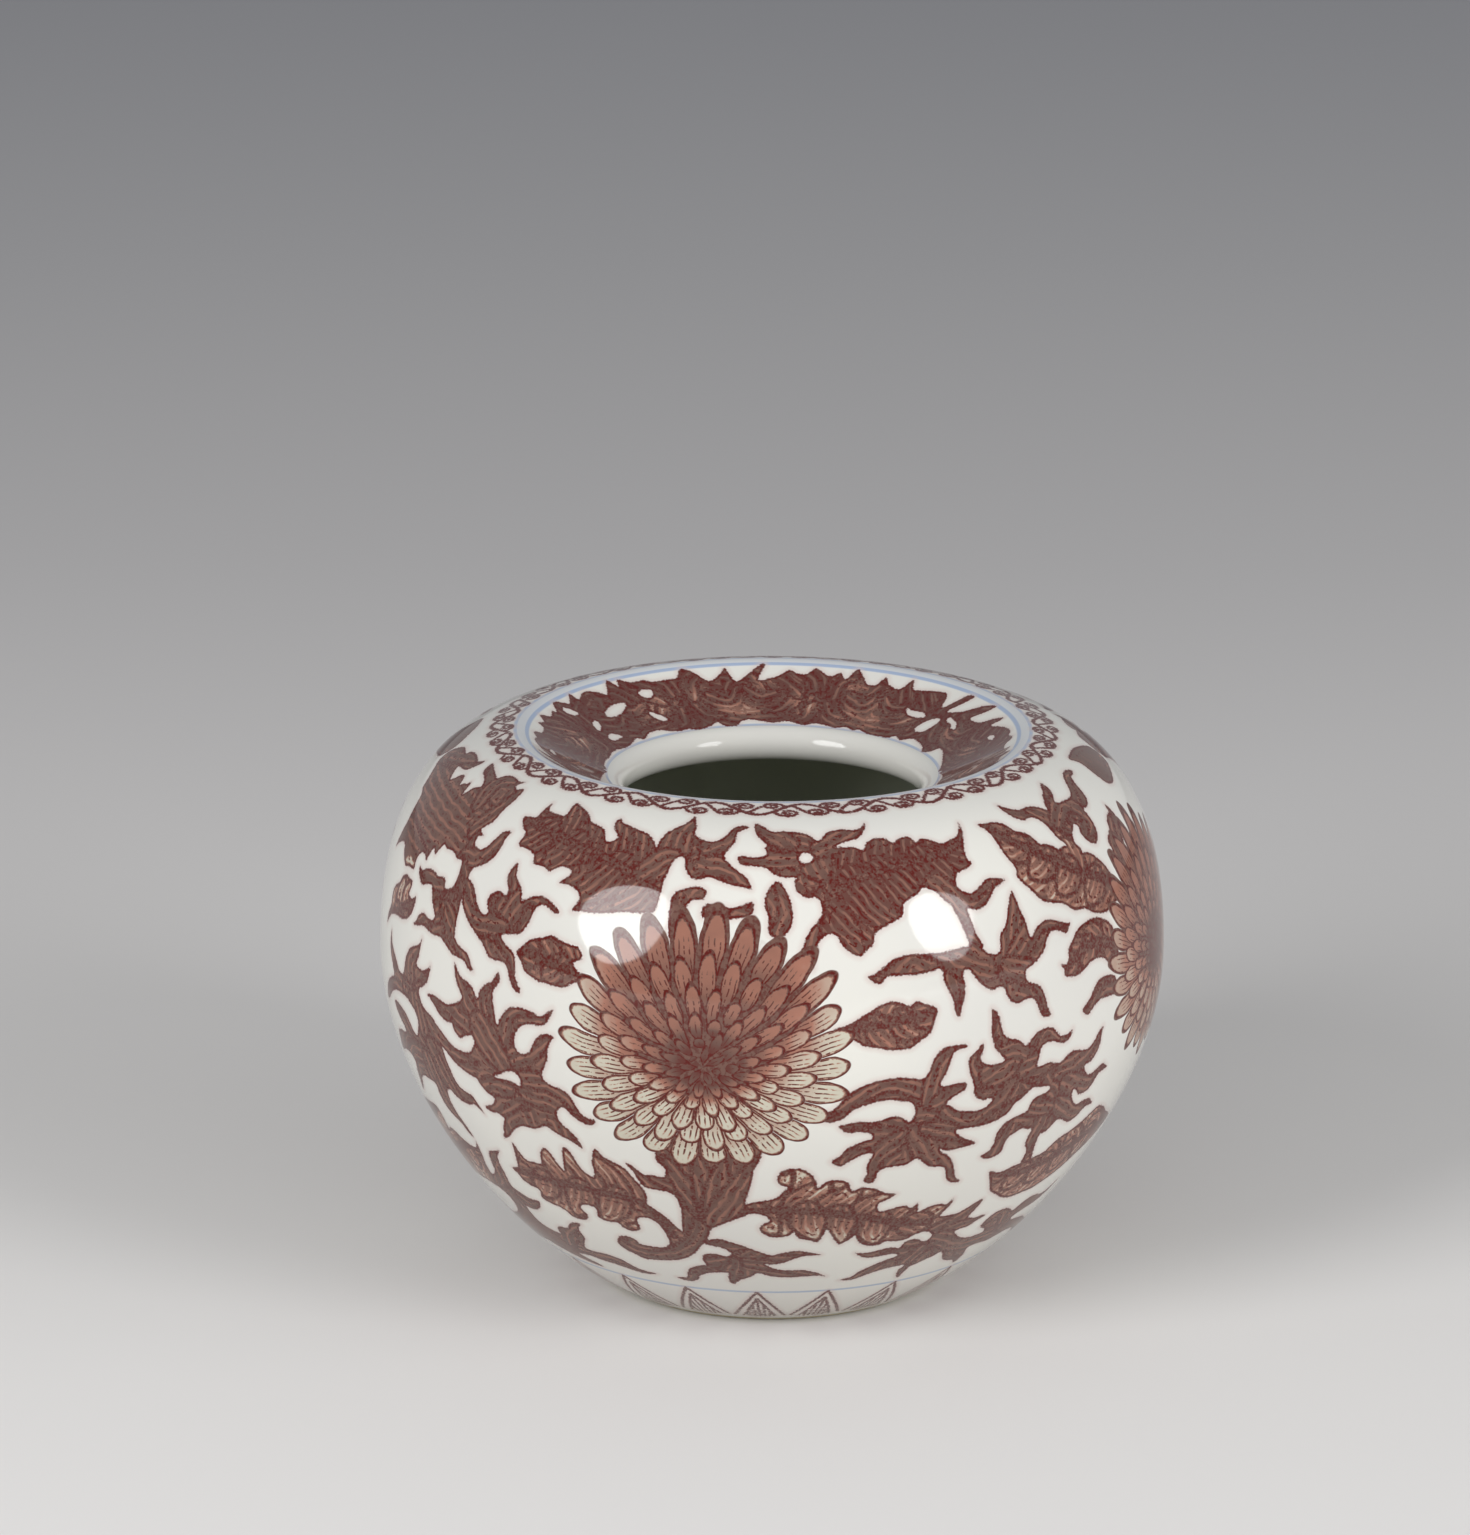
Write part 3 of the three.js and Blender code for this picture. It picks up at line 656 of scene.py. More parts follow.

# %% [markdown]
# ## Outlines
# The tongues say how the streaks run, and an outline says where each painted shape ends. On the
# jar that is the dark line that was drawn first. The outlines were read off the photograph, in
# degrees round the jar and millimetres of rise.

# %% Outlines of the painted shapes
SHAPES = [
    # Calyx behind the lowest petals of the flower.
    [(-17, 41), (-16.8, 43.5), (-13.5, 46), (-9, 46.5), (-5, 46), (-1.5, 44.5), (-1.8, 42),
     (-4, 40), (-9, 39.5), (-14, 39.5)],
    # Dark flower head and leaf at the far left, with the sprig that hangs from it.
    [(-55.3, 88.9), (-56.2, 87.9), (-54.9, 87.3), (-54.1, 87.7), (-53.2, 87.6), (-52.6, 85.8),
     (-53, 83.7), (-53.2, 81.8), (-54.7, 80.3), (-53.3, 79.6), (-54.5, 79.3), (-54.2, 78.2),
     (-52.5, 77.8), (-51.2, 78.5), (-50.2, 79.9), (-49.5, 81), (-47.7, 81.4), (-48.2, 80.3),
     (-48.1, 79.1), (-48.7, 77.4), (-50.2, 76.2), (-52, 75.4), (-52.5, 74.5), (-52.6, 71.5),
     (-52.7, 68.7), (-52.5, 66), (-50.7, 65.1), (-49.2, 64.7), (-48.2, 63.5), (-47.6, 62.7),
     (-48.7, 62.8), (-50, 63.7), (-52.5, 63.8), (-53.7, 64.3), (-55, 64.9), (-56.4, 65.3),
     (-58.2, 65.1), (-59.9, 65.3), (-61.4, 65.5), (-63.1, 65.1), (-64.6, 64.9), (-63.8, 65.6),
     (-63.1, 66.5), (-61.8, 67.1), (-60.4, 66.8), (-59, 66.8), (-58.4, 67.4), (-59.1, 68.3),
     (-60.1, 69.3), (-60.6, 70.3), (-61.4, 71), (-62.8, 70.7), (-64.3, 70.3), (-66, 71.2),
     (-66.7, 72.2), (-65.3, 71.9), (-64.3, 72.4), (-62.8, 72.7), (-61.4, 72.7), (-60.1, 72.4),
     (-58.9, 72.6), (-57.9, 72.5), (-57.5, 71.5), (-56.3, 71.6), (-55.3, 72.3), (-55, 73.7),
     (-55.2, 75.1), (-55.6, 75.7), (-56.9, 75.5), (-57.9, 76), (-59.4, 76.2), (-60.6, 76.1),
     (-61.8, 76.4), (-62.6, 75.5), (-63.3, 74.6), (-64.3, 75.3), (-65, 74.1), (-65.3, 73.3),
     (-66.5, 73.9), (-68, 73.7), (-68.7, 72.4), (-68.5, 71.3), (-70.7, 71.1), (-72.2, 70.8),
     (-73.4, 71.2), (-74.9, 72), (-75.9, 72.8), (-77.6, 72.8), (-79.6, 72), (-80.8, 71.2),
     (-80.2, 73.3), (-79.6, 74.9), (-79.8, 76.6), (-80.3, 78.3), (-81.1, 79.1), (-82.8, 79.5),
     (-84, 80.8), (-86, 82), (-88, 82.8), (-88.5, 84.5), (-87, 86), (-85, 86.9), (-81.3, 86.8),
     (-81.1, 87.3), (-79.6, 87.8), (-77.6, 87.9), (-75.6, 87.8), (-73.9, 87.6), (-72.7, 88.3),
     (-72.2, 87.6), (-72.7, 86.6), (-73.4, 85.8), (-75.1, 85.4), (-77.4, 85.2), (-76.1, 84.1),
     (-75.1, 83.5), (-74.4, 83.4), (-73.7, 83.9), (-72.9, 84.7), (-71.9, 85.1), (-70.7, 84.5),
     (-70, 83.7), (-69.3, 84.2), (-68.3, 84.4), (-67.8, 85), (-67, 84.2), (-66.7, 83.4),
     (-66.3, 83), (-65.8, 83.7), (-65.3, 84.5), (-64.6, 84.9), (-63.8, 85.3), (-64.8, 86.1),
     (-66.3, 86.6), (-68, 87), (-69.3, 87.8), (-69.8, 88.8), (-68.3, 88.6), (-66.3, 88.2),
     (-64.3, 87.8), (-62.8, 87.4), (-62.1, 88), (-61.4, 88.6), (-59.9, 88.9), (-58.2, 88.8),
     (-56.7, 88.6)],
    [(-53, 73.5), (-51.7, 73.7), (-50.2, 72.8), (-49.2, 71.6), (-47.5, 70.3), (-46.2, 70.6),
     (-46.9, 72), (-46.5, 73), (-45, 73.7), (-43.7, 73.4), (-43.2, 74.1), (-44.1, 75.3),
     (-44.2, 76.4), (-43.7, 77.4), (-43.3, 77.8), (-42.9, 77.2), (-42.6, 76.2), (-41.5, 75.3),
     (-40.6, 74.5), (-40.2, 73.3), (-39.7, 73.5), (-38.5, 74.1), (-36.7, 74.5), (-35.2, 74.2),
     (-34, 73.7), (-32.9, 73), (-34, 72.8), (-35, 73.3), (-36.5, 73.5), (-37.5, 72.4),
     (-38, 70.8), (-39, 69.5), (-40.2, 69), (-42.7, 68.5), (-41.7, 67.4), (-40.2, 66.8),
     (-39.5, 65.8), (-39.2, 63.7), (-38.1, 62.1), (-38.7, 61.8), (-40, 62.8), (-40.7, 64.3),
     (-41.5, 65.1), (-44, 65.1), (-45, 65.5), (-46.2, 66.6), (-48, 67.6), (-50, 68.7),
     (-51.5, 69.9), (-52.5, 71.2)],
    [(-76.9, 61.8), (-76.4, 63.3), (-75.4, 64.7), (-75.4, 66.6), (-74.4, 67.6), (-72.9, 68.3),
     (-72.2, 69.3), (-70.7, 70), (-69.2, 69.9), (-67.8, 69.8), (-67.7, 68.9), (-68, 68),
     (-66.5, 67.8), (-65.2, 68.4), (-65.3, 67), (-66, 65.8), (-67.3, 64.9), (-69.2, 64.4),
     (-71.2, 64.3), (-73.2, 64), (-74.7, 63.5), (-75.9, 62.6)],
    # Leaves and sprigs above the front flower.
    [(-39.4, 66.8), (-38.5, 67.8), (-37, 68.9), (-35, 69.5), (-33.5, 70), (-32, 69.6),
     (-30.2, 69.3), (-28.7, 69.1), (-28.1, 67.8), (-29.5, 67), (-27.5, 65.3), (-29, 64.7),
     (-31, 63.7), (-34, 63.9), (-35, 63.9), (-37.5, 64.7), (-38.5, 66)],
    [(-47.4, 84), (-45, 84.3), (-44.6, 85.7), (-44.2, 87.2), (-43.5, 85.9), (-41, 85.7),
     (-39.4, 85.9), (-39.6, 88.2), (-38, 87.9), (-36.5, 87.5), (-35, 86.8), (-33.5, 85.7),
     (-31.3, 85.3), (-30, 84.7), (-28.7, 83.2), (-27, 84), (-28.2, 85.1), (-29, 86.2),
     (-28.6, 87.2), (-27.7, 86.6), (-26, 86.2), (-24, 85.7), (-22, 85.3), (-20.5, 84.3),
     (-19.5, 83.2), (-18, 82), (-17.2, 80.5), (-17, 79), (-17.3, 76.8), (-18, 74.8),
     (-21, 74.5), (-23.2, 74.3), (-26.5, 73.8), (-29.3, 73.7), (-31, 73.5), (-30, 75.1),
     (-30.7, 76), (-32.2, 76.6), (-34.2, 76.7), (-32.7, 78), (-33.2, 78.7), (-35, 78.7),
     (-36.7, 77.8), (-38, 78.2), (-40.3, 78.3), (-40.7, 79.3), (-42.7, 79.9), (-44.9, 80.1),
     (-44.7, 81.8), (-46.2, 82.6)],
    [(-14.8, 89.3), (-14.2, 88.2), (-13.8, 87.2), (-13.7, 86), (-12.4, 85.3), (-10.9, 85),
     (-9.7, 85.1), (-8.4, 85.8), (-7.4, 87), (-6.4, 87.8), (-4.7, 88), (-4.5, 87.6),
     (-6.2, 86.6), (-6.4, 85.1), (-7.4, 83.9), (-7.9, 82.8), (-6.9, 81.8), (-5.4, 80.8),
     (-3.9, 79.9), (-3.2, 78.5), (-4.2, 78.7), (-5.9, 78.9), (-8.4, 79.5), (-9.9, 79.9),
     (-11.4, 79.5), (-12.9, 79.7), (-13.9, 80.8), (-14.2, 82), (-15.2, 82.4), (-16.2, 81.6),
     (-16.7, 79.9), (-17.5, 79), (-19.5, 81.5), (-19.5, 84.1), (-18.7, 85.8), (-17.4, 86.8),
     (-15.7, 88)],
    [(-15.4, 76.6), (-14.4, 77.8), (-11.9, 78.5), (-10.2, 78.2), (-10.4, 77), (-12.4, 76.6),
     (-13.4, 74.5), (-13.9, 72), (-15.2, 72)],
    [(-9.9, 76.4), (-7.4, 76.2), (-5.9, 76), (-3.9, 76.6), (-2.8, 76.7), (-3, 75.3),
     (-4.9, 74.8), (-8.5, 74.5), (-10.5, 74.8)],
    [(1, 79.6), (-0.2, 78.9), (-1, 77.6), (-1, 76.2), (-0.5, 74.9), (-0.5, 73.2), (0.3, 72.5),
     (1.5, 72.5), (2.8, 73.7), (3.1, 75.3), (2.8, 77), (2, 78.5)],
    [(-3.2, 88.5), (-1.5, 87.8), (0, 87), (2, 87.1), (4, 86.9), (6.3, 86.4), (8, 85.3),
     (9.6, 86.6), (12.1, 87.1), (14.6, 86.8), (16.1, 87.2), (17.1, 88), (16.6, 86.8),
     (15.1, 85.5), (13.1, 85.1), (10.6, 84.3), (11.3, 84.1), (13.6, 84.1), (15.3, 83.5),
     (16.1, 84.5), (17.6, 85.1), (19.6, 85), (20.8, 84.1), (22.1, 84.8), (24.1, 84.8),
     (24.8, 83.8), (26.1, 84.3), (27.3, 84), (28.5, 83.4), (29.7, 83.1), (31.2, 83.5),
     (32.7, 83.8), (33.9, 84.8), (34.7, 85.8), (34.4, 84.6), (33.6, 83.1), (32.9, 81.7),
     (32.7, 80.4), (33.2, 79.9), (32.7, 79.4), (31.4, 79.1), (30.2, 78.8), (29.5, 78.1),
     (29.3, 77.3), (30, 76.5), (31.4, 76), (33.1, 76.5), (34.4, 77.2), (35.6, 77.4),
     (37.1, 77.1), (38.3, 76.8), (37.1, 76.4), (35.8, 76), (34.6, 75), (33.4, 74.2),
     (31.9, 73.8), (30.2, 74.2), (30.5, 72.5), (31.2, 70.5), (31.9, 69.2), (30, 69),
     (29.3, 71), (28.5, 73.3), (27.6, 75), (26.8, 75.6), (25.8, 76.7), (24.8, 77.3),
     (23.6, 77.6), (22.6, 76.9), (21.6, 76.6), (20.1, 75.8), (19.8, 74.5), (18.6, 73.9),
     (16.6, 73.2), (15.1, 72.4), (14.8, 71.2), (13.6, 70.4), (12.7, 69.8), (11.3, 70.3),
     (10.1, 71.4), (9.6, 72.4), (8.5, 72.8), (7, 72), (6, 69.9), (5.8, 68.3), (4, 69.5),
     (4.5, 71.2), (5.5, 73.2), (7.3, 74.9), (7.5, 76.2), (6.8, 77.4), (5.3, 77.4),
     (3.8, 78.2), (3.5, 79.5), (3.8, 80.1), (2, 80.1), (0.3, 80.5), (-1, 81.4), (-3, 81.6),
     (-5, 81.8), (-5.7, 82.6), (-5, 83), (-3, 82.8), (-1, 83.2), (-1.2, 84.2), (-1, 84.9),
     (-2.2, 85.8), (-3, 86.8)],
    # Sprig and leaf under the right highlight.
    [(13.7, 67.1), (14.6, 66.4), (15.6, 66.2), (16.6, 67), (18.6, 67), (20.9, 66.9),
     (23.4, 67.1), (24.8, 67.2), (25.1, 65.8), (25.6, 64.6), (26.3, 63.3), (26.7, 61.3),
     (27.3, 60.8), (27.7, 61.9), (28.2, 63.3), (28.4, 64.8), (28.1, 66.2), (29, 66.7),
     (29.7, 66), (30.5, 65), (31.4, 64.2), (32.7, 63.5), (34.1, 63.7), (35, 63.3),
     (35.3, 62.3), (36.3, 61.3), (37.3, 61), (38.5, 61.3), (39.7, 61.3), (40.5, 60.6),
     (41, 59.6), (41.7, 58.5), (43.4, 58.3), (42.7, 59.4), (42.4, 60.6), (41.7, 62.1),
     (40.7, 62.9), (39.5, 63.3), (38.8, 64), (39, 65), (40, 65.4), (41.4, 66), (42.7, 66.9),
     (43.4, 67.9), (44.1, 68.7), (45.4, 69), (46.8, 68.5), (47.8, 68.2), (48.8, 69.2),
     (47.6, 69.5), (46.3, 70), (45.1, 70.4), (43.6, 70.5), (42.2, 70.1), (41.2, 69.4),
     (40.6, 68.8), (40.2, 69.8), (40, 71.3), (39.5, 72.5), (39.2, 73.8), (38.8, 75.2),
     (38, 74.4), (37.4, 73.3), (36.8, 72.1), (36.1, 71), (35.1, 70.2), (34.9, 69.2),
     (34.6, 68.1), (33.4, 67.9), (32.2, 68.5), (30.9, 69.6), (29, 69.5), (27, 69.4),
     (25, 69.2), (22.1, 69.4), (20.1, 69.5), (17.6, 69.1), (16.1, 68.2), (14.6, 67.4)],
    [(8.5, 60.5), (9.9, 61), (11.1, 61.4), (13.6, 62.6), (15.6, 63.5), (17.1, 63.8),
     (18.6, 63.5), (19.6, 63), (20.8, 63.5), (22.1, 63), (23.8, 62.3), (23.5, 61), (23, 59.7),
     (22.3, 58.9), (21.1, 58.3), (19.9, 57.6), (18.2, 57.5), (16.6, 57.6), (14.9, 58),
     (13.2, 58.3), (11.8, 59.1), (10.2, 59.7)],
    # Long leaf, sprig and tongues round the right flower.
    [(38.1, 84.9), (39.5, 84.8), (41, 84.7), (42.4, 84.4), (43.4, 83.8), (44.6, 82.6),
     (46.2, 82), (47.3, 81), (47.9, 80), (49.4, 79.7), (50.6, 79.1), (51.6, 78.5),
     (53.1, 78.7), (54.8, 78), (56.3, 77), (58.3, 76.6), (60, 75.3), (61.2, 74.1),
     (62, 72.6), (62.2, 71.2), (63.4, 69.5), (64.3, 68.2), (62.9, 68.2), (61.8, 69.3),
     (60, 69.1), (58.3, 68.7), (56.3, 68.9), (54.3, 69.5), (52.8, 70.3), (50.6, 70.5),
     (49.4, 71.2), (47.9, 72), (46.2, 72.4), (44.7, 72.8), (43.5, 73.6), (42.4, 74.8),
     (41.4, 75.8), (40.6, 76.9), (41, 77.9), (40.2, 79.4), (39.7, 80.8), (39.5, 82.1),
     (39.2, 83.5), (38.3, 84.4)],
    [(45.1, 87.1), (46.2, 86.4), (47.4, 85.8), (48.9, 85.3), (50.9, 85.4), (52.6, 85),
     (53.8, 84.5), (54.8, 83.8), (55.3, 84.5), (56.8, 85.8), (58.3, 86.6), (59.5, 87.4),
     (60.5, 87.8), (60.6, 86.8), (60.2, 86), (59.2, 85.1), (58.3, 84.3), (59.5, 84.1),
     (61, 84), (62.7, 84), (64.2, 84.3), (65.6, 85.3), (67.1, 86.4), (68.8, 87.1),
     (70.6, 87.3), (71.8, 87.1), (72.8, 86.7), (71.6, 86.3), (70.1, 86.2), (68.8, 85.3),
     (68.1, 84.1), (67.4, 82.8), (65.6, 81.8), (63.9, 81.8), (63.8, 80.5), (63.6, 79.1),
     (62.7, 77.8), (61.2, 77.2), (59.7, 77.8), (58.8, 79.1), (59.2, 80.1), (58.5, 80.7),
     (57.3, 80.1), (56.3, 79.3), (56, 78.3), (56.8, 77.4), (55.5, 76.5), (53.6, 77.5),
     (53.6, 78.8), (52.6, 79.9), (52.1, 81.4), (51.6, 82.6), (50.6, 83.5), (49.4, 83.8),
     (47.9, 83.7), (46.4, 84.5), (45.4, 85.8)],
    [(71.1, 80.7), (72, 79.5), (72.1, 78.3), (71.3, 76.6), (70.1, 75.3), (69.8, 73.7),
     (70.5, 71.5), (69.6, 70.5), (68.1, 70.8), (66.6, 71.4), (65.4, 72.2), (64.8, 73.7),
     (65.2, 75.3), (64.9, 76.4), (65.9, 77.2), (67.1, 77.4), (68.1, 78.7), (69.3, 79.3),
     (70.8, 79.6)],
    [(70.6, 74.5), (73, 75.3), (75.5, 76), (78, 76.2), (77.5, 75), (75.5, 73.9), (72.5, 73.2),
     (71, 73)],
    [(77.2, 87.9), (80, 88.2), (84, 88), (88, 87), (91, 85.5), (90, 83), (86, 82), (82, 81.4),
     (79, 82), (78, 84), (78.3, 86.5)],
    [(50.1, 57.5), (51.9, 58.7), (53.3, 60.1), (54.8, 60.7), (56.8, 60.6), (58.6, 60),
     (59, 58), (56.8, 57.8), (54.8, 58), (52.8, 57.4), (51.4, 56.6)],
    [(45.7, 64.5), (46.6, 64.2), (47.5, 64.7), (47.7, 66), (48.9, 67), (50.1, 68),
     (51.9, 68.5), (53.8, 68.7), (55.5, 68.5), (57.3, 67.8), (58.8, 66.8), (59.5, 65.3),
     (60, 62.8), (60.3, 61), (58.8, 61), (57.8, 61.5), (56.8, 62.4), (55.3, 63.3),
     (53.6, 63.5), (52.1, 63.3), (50.6, 62.7), (48.9, 62.3), (47.7, 62.5), (46.5, 62.8),
     (46.4, 63.7)],
    # Three sprigs in a row between the two flowers.
    [(32.6, 61.1), (33.7, 60.1), (34.1, 58.7), (34.6, 57.4), (35.8, 56.6), (37.2, 56.2),
     (38.4, 55.3), (39, 55.4), (39.8, 56), (40.8, 56.6), (42.2, 56.8), (43.6, 56.6),
     (44.6, 55.8), (45.5, 55.1), (47, 55.1), (48, 55.5), (47.2, 54.3), (45.8, 54.1),
     (44.6, 54.5), (43.6, 54.8), (42.5, 54.8), (41.5, 54.3), (41.2, 53), (41, 51.8),
     (42.2, 51.8), (43.6, 51.9), (44.8, 51.5), (46, 51.4), (47, 52), (48.4, 52.4),
     (49.8, 52.2), (51.2, 51.9), (52.6, 52), (53.6, 52.8), (54.5, 53.7), (55.5, 54.1),
     (55.1, 53), (55, 51.6), (54.3, 50.5), (53.1, 49.7), (51.9, 49.6), (52.2, 48.7),
     (53.6, 47.7), (55, 48), (56, 48.3), (57.1, 48.5), (57.9, 48), (58.6, 47.5), (56.4, 47.2),
     (55.5, 46.2), (54.5, 45.3), (53.1, 45.1), (51.9, 45.3), (51, 46.2), (50.2, 46.3),
     (50.5, 45.1), (51.4, 44.1), (52.6, 43.5), (53.8, 43.7), (55, 43.7), (56, 43.5),
     (56.7, 43), (57.4, 42.4), (55.5, 42.4), (54.5, 41.8), (53.4, 41.2), (51.9, 41),
     (50.7, 41.4), (49.6, 42), (48.4, 42.2), (47.4, 41.5), (46.4, 40.8), (45.3, 40.8),
     (45.1, 39.5), (45.3, 37.8), (45.6, 36.4), (43.5, 36.2), (43.6, 37.8), (43.2, 38.9),
     (42.5, 39.7), (42.6, 41.2), (42.9, 42.2), (41.7, 42.4), (40.6, 42.8), (39.4, 42.4),
     (38.2, 41.8), (37.8, 40.8), (37.7, 39.7), (37, 39.2), (35.3, 38.9), (33.7, 39.7),
     (35.1, 40.3), (35.6, 41.6), (35.6, 42.8), (36.3, 44.1), (37.5, 44.8), (39.1, 45.1),
     (40.6, 45.4), (41, 46.4), (41.7, 47.2), (43.2, 47.4), (44.4, 47.7), (44.3, 48.3),
     (43.4, 48.6), (42.2, 48.7), (40.8, 48.9), (39.8, 48.3), (38.7, 47.6), (37.7, 47.2),
     (37, 46.2), (35.8, 45.5), (34.2, 45.1), (32.3, 44.9), (30.4, 45), (28.9, 45),
     (27.9, 44.9), (28.6, 44.1), (29.8, 43.3), (31, 42.8), (32, 42.2), (30.8, 42),
     (29.4, 41.9), (27.9, 41.8), (26.7, 42), (25.8, 42.4), (26.4, 41.6), (27.2, 41.2),
     (28.2, 40.3), (28.9, 39.3), (29.6, 37.8), (30.3, 36.6), (31.3, 35.8), (30.1, 35.8),
     (28.9, 36.4), (28.2, 37.4), (27.7, 38.7), (26.5, 39.3), (25.1, 39.5), (23.9, 40.1),
     (23, 41), (22, 41.2), (20.8, 40.5), (19.2, 40.4), (17.5, 40.3), (16.4, 39.7),
     (16.1, 38.3), (15.6, 37.8), (14.3, 38.3), (14.7, 39.5), (14.5, 40.8), (14.8, 41.8),
     (15.2, 42.8), (14.7, 43), (13.5, 42.8), (12.3, 42.2), (11.3, 41.6), (10.4, 41.1),
     (8.9, 42), (10.2, 42.8), (11.1, 43.9), (12.3, 44.5), (13.7, 45), (14.8, 45.3),
     (14.6, 46), (14, 46.3), (12.5, 46.5), (11.1, 46.4), (9.7, 47.5), (11.1, 47.8),
     (12.5, 48), (14.2, 47.8), (15.8, 47.9), (17.3, 48.3), (18.7, 48.2), (19.6, 47.6),
     (20.4, 47.3), (21, 48.6), (20.6, 49.7), (19.9, 50.3), (18.7, 50.5), (17.3, 50.8),
     (15.6, 50.8), (14, 50.5), (12.5, 50.1), (11.3, 49.5), (10.4, 48.7), (9.2, 48.2),
     (8, 48.2), (6.8, 48.5), (6.9, 49.4), (8.7, 49.9), (9.9, 51), (11.1, 52.2), (12.8, 53),
     (14.4, 53.5), (16.3, 53.7), (18.2, 53.8), (20.1, 53.5), (21.8, 53.3), (22.7, 54.3),
     (23.2, 55.5), (24.1, 56.6), (25.3, 57.1), (26.7, 57.1), (28.2, 57.1), (28.5, 56.7),
     (26.7, 56.4), (26, 55.5), (25.6, 54.5), (25.1, 53.3), (24.4, 52.2), (25.3, 51.8),
     (26.7, 51.9), (28.4, 51.9), (28.7, 51.1), (27.7, 50.5), (26.3, 49.9), (25.6, 49.3),
     (26.3, 48.9), (27.7, 48), (29.4, 47.6), (30.8, 47.4), (32.3, 47.6), (33.2, 48.3),
     (33.5, 48.8), (32.6, 48.9), (32, 48.8), (30.8, 49.3), (30.1, 50.1), (29.8, 51.6),
     (29.2, 52.8), (28.9, 53.9), (28.9, 55.1), (30.1, 56), (31.1, 56.8), (31.1, 55.8),
     (30.7, 54.9), (31.3, 54.1), (32.3, 53.7), (33.7, 53.6), (34.9, 53.9), (34.2, 54.7),
     (33.2, 55.8), (32.7, 57), (32.5, 58.3), (32.6, 59.5)],
    # Sprigs left of the front flower.
    [(-51.9, 63), (-50.6, 61.6), (-48.8, 61.1), (-47.4, 60.5), (-46.5, 59.3), (-45.9, 60.6),
     (-44.8, 61.6), (-43.6, 62.3), (-42.9, 63.2), (-42.4, 63.6), (-42, 62.8), (-42.7, 61.8),
     (-43.3, 60.8), (-43.1, 59.3), (-42.8, 58.1), (-42.3, 56.8), (-41.5, 58.1), (-40.3, 59.3),
     (-38.9, 59.8), (-37.3, 59.9), (-35.7, 59.7), (-34.3, 59.4), (-33.1, 60.2), (-32.3, 60.7),
     (-32.6, 59.8), (-33.5, 58.6), (-34.5, 58.2), (-36.1, 58.1), (-37.5, 57.7), (-38.5, 56.8),
     (-39, 55.8), (-38.9, 54.5), (-37.8, 53.8), (-36.4, 54.3), (-35.7, 55.4), (-35, 56.4),
     (-33.8, 57.2), (-32.1, 57.2), (-32.6, 56.4), (-33.1, 55.2), (-33.2, 53.9), (-33.8, 52.7),
     (-34.3, 51.6), (-33.8, 50.7), (-32.4, 50.3), (-31, 50.1), (-29.8, 49.3), (-29.2, 48.3),
     (-28.5, 47.2), (-27.5, 46.5), (-26.2, 46.5), (-26.5, 45.8), (-27.7, 45.5), (-29.1, 46),
     (-30.3, 46.8), (-31, 47.5), (-31.9, 47.3), (-32.6, 46.4), (-32.4, 45.2), (-31.4, 44.3),
     (-30.3, 43.5), (-29.6, 42.5), (-29.3, 41.4), (-30, 41.8), (-31.2, 42.4), (-32.6, 42.8),
     (-34, 43.3), (-35.2, 43.9), (-36.1, 43.5), (-37.5, 42.9), (-38.9, 42.9), (-40.3, 42.7),
     (-41.7, 42), (-42.9, 41), (-43.8, 40.2), (-45.3, 39.5), (-44.8, 40.6), (-44.3, 41.8),
     (-43.6, 43.1), (-44.8, 43.7), (-46, 43.5), (-47.5, 43.9), (-46.2, 44.5), (-45, 45.2),
     (-44.6, 46), (-46, 46.5), (-47.1, 47.3), (-47.7, 48.1), (-49.2, 48.3), (-51.1, 48.7),
     (-53, 49.4), (-54.1, 50.1), (-55.5, 50.8), (-58, 51.5), (-60, 52.5), (-60, 54.7),
     (-58.1, 54.3), (-56.3, 53.5), (-54.4, 52.5), (-52.5, 51.6), (-50.6, 51.4), (-48.5, 51.7),
     (-47.5, 52.7), (-47.1, 53.5), (-47.7, 54.2), (-48.5, 54), (-49.5, 53.6), (-50.3, 53.2),
     (-51.1, 53.5), (-51.8, 54), (-52.1, 54.8), (-53.4, 54.7), (-54.9, 55), (-56.5, 55.9),
     (-57.7, 56.6), (-58.7, 57), (-57.7, 57.3), (-55.8, 57.3), (-53.9, 57), (-52.3, 57.3),
     (-51.1, 57.8), (-50.1, 58.3), (-49.9, 59.1), (-50.9, 60.2), (-51.6, 61.4)],
    [(-58, 61.1), (-58.4, 59.7), (-59, 58.5), (-60.4, 57.6), (-61.4, 57), (-61.1, 56),
     (-60.2, 55.1), (-59, 54.6), (-57, 54), (-56, 52), (-55.4, 50.5), (-55.2, 49.5),
     (-54.6, 48.1), (-53.9, 46.6), (-53, 45.6), (-51.3, 45.1), (-50.2, 45), (-49.5, 44.3),
     (-48.2, 42.6), (-49.9, 43.6), (-51.6, 43.2), (-53.4, 43.2), (-55.1, 43.7), (-56.3, 44.2),
     (-57.3, 43.8), (-57.6, 42.8), (-57.5, 41.5), (-56.8, 40.1), (-55.7, 38.8), (-54.8, 37),
     (-55.9, 37.5), (-56.9, 38.7), (-58.7, 39.5), (-60.2, 40.5), (-60.9, 42), (-61.1, 43.7),
     (-63.5, 43.8), (-65.4, 43.7), (-67.1, 42.8), (-68.5, 41.2), (-70.2, 40.1), (-69.2, 41.6),
     (-68.5, 43.3), (-67.6, 45.1), (-69, 45.9), (-71.5, 45.8), (-74.6, 44.9), (-73.8, 46.6),
     (-73.1, 48), (-71.2, 48.7), (-69.2, 48.9), (-68.3, 49.3), (-68.5, 49.9), (-69.7, 50.5),
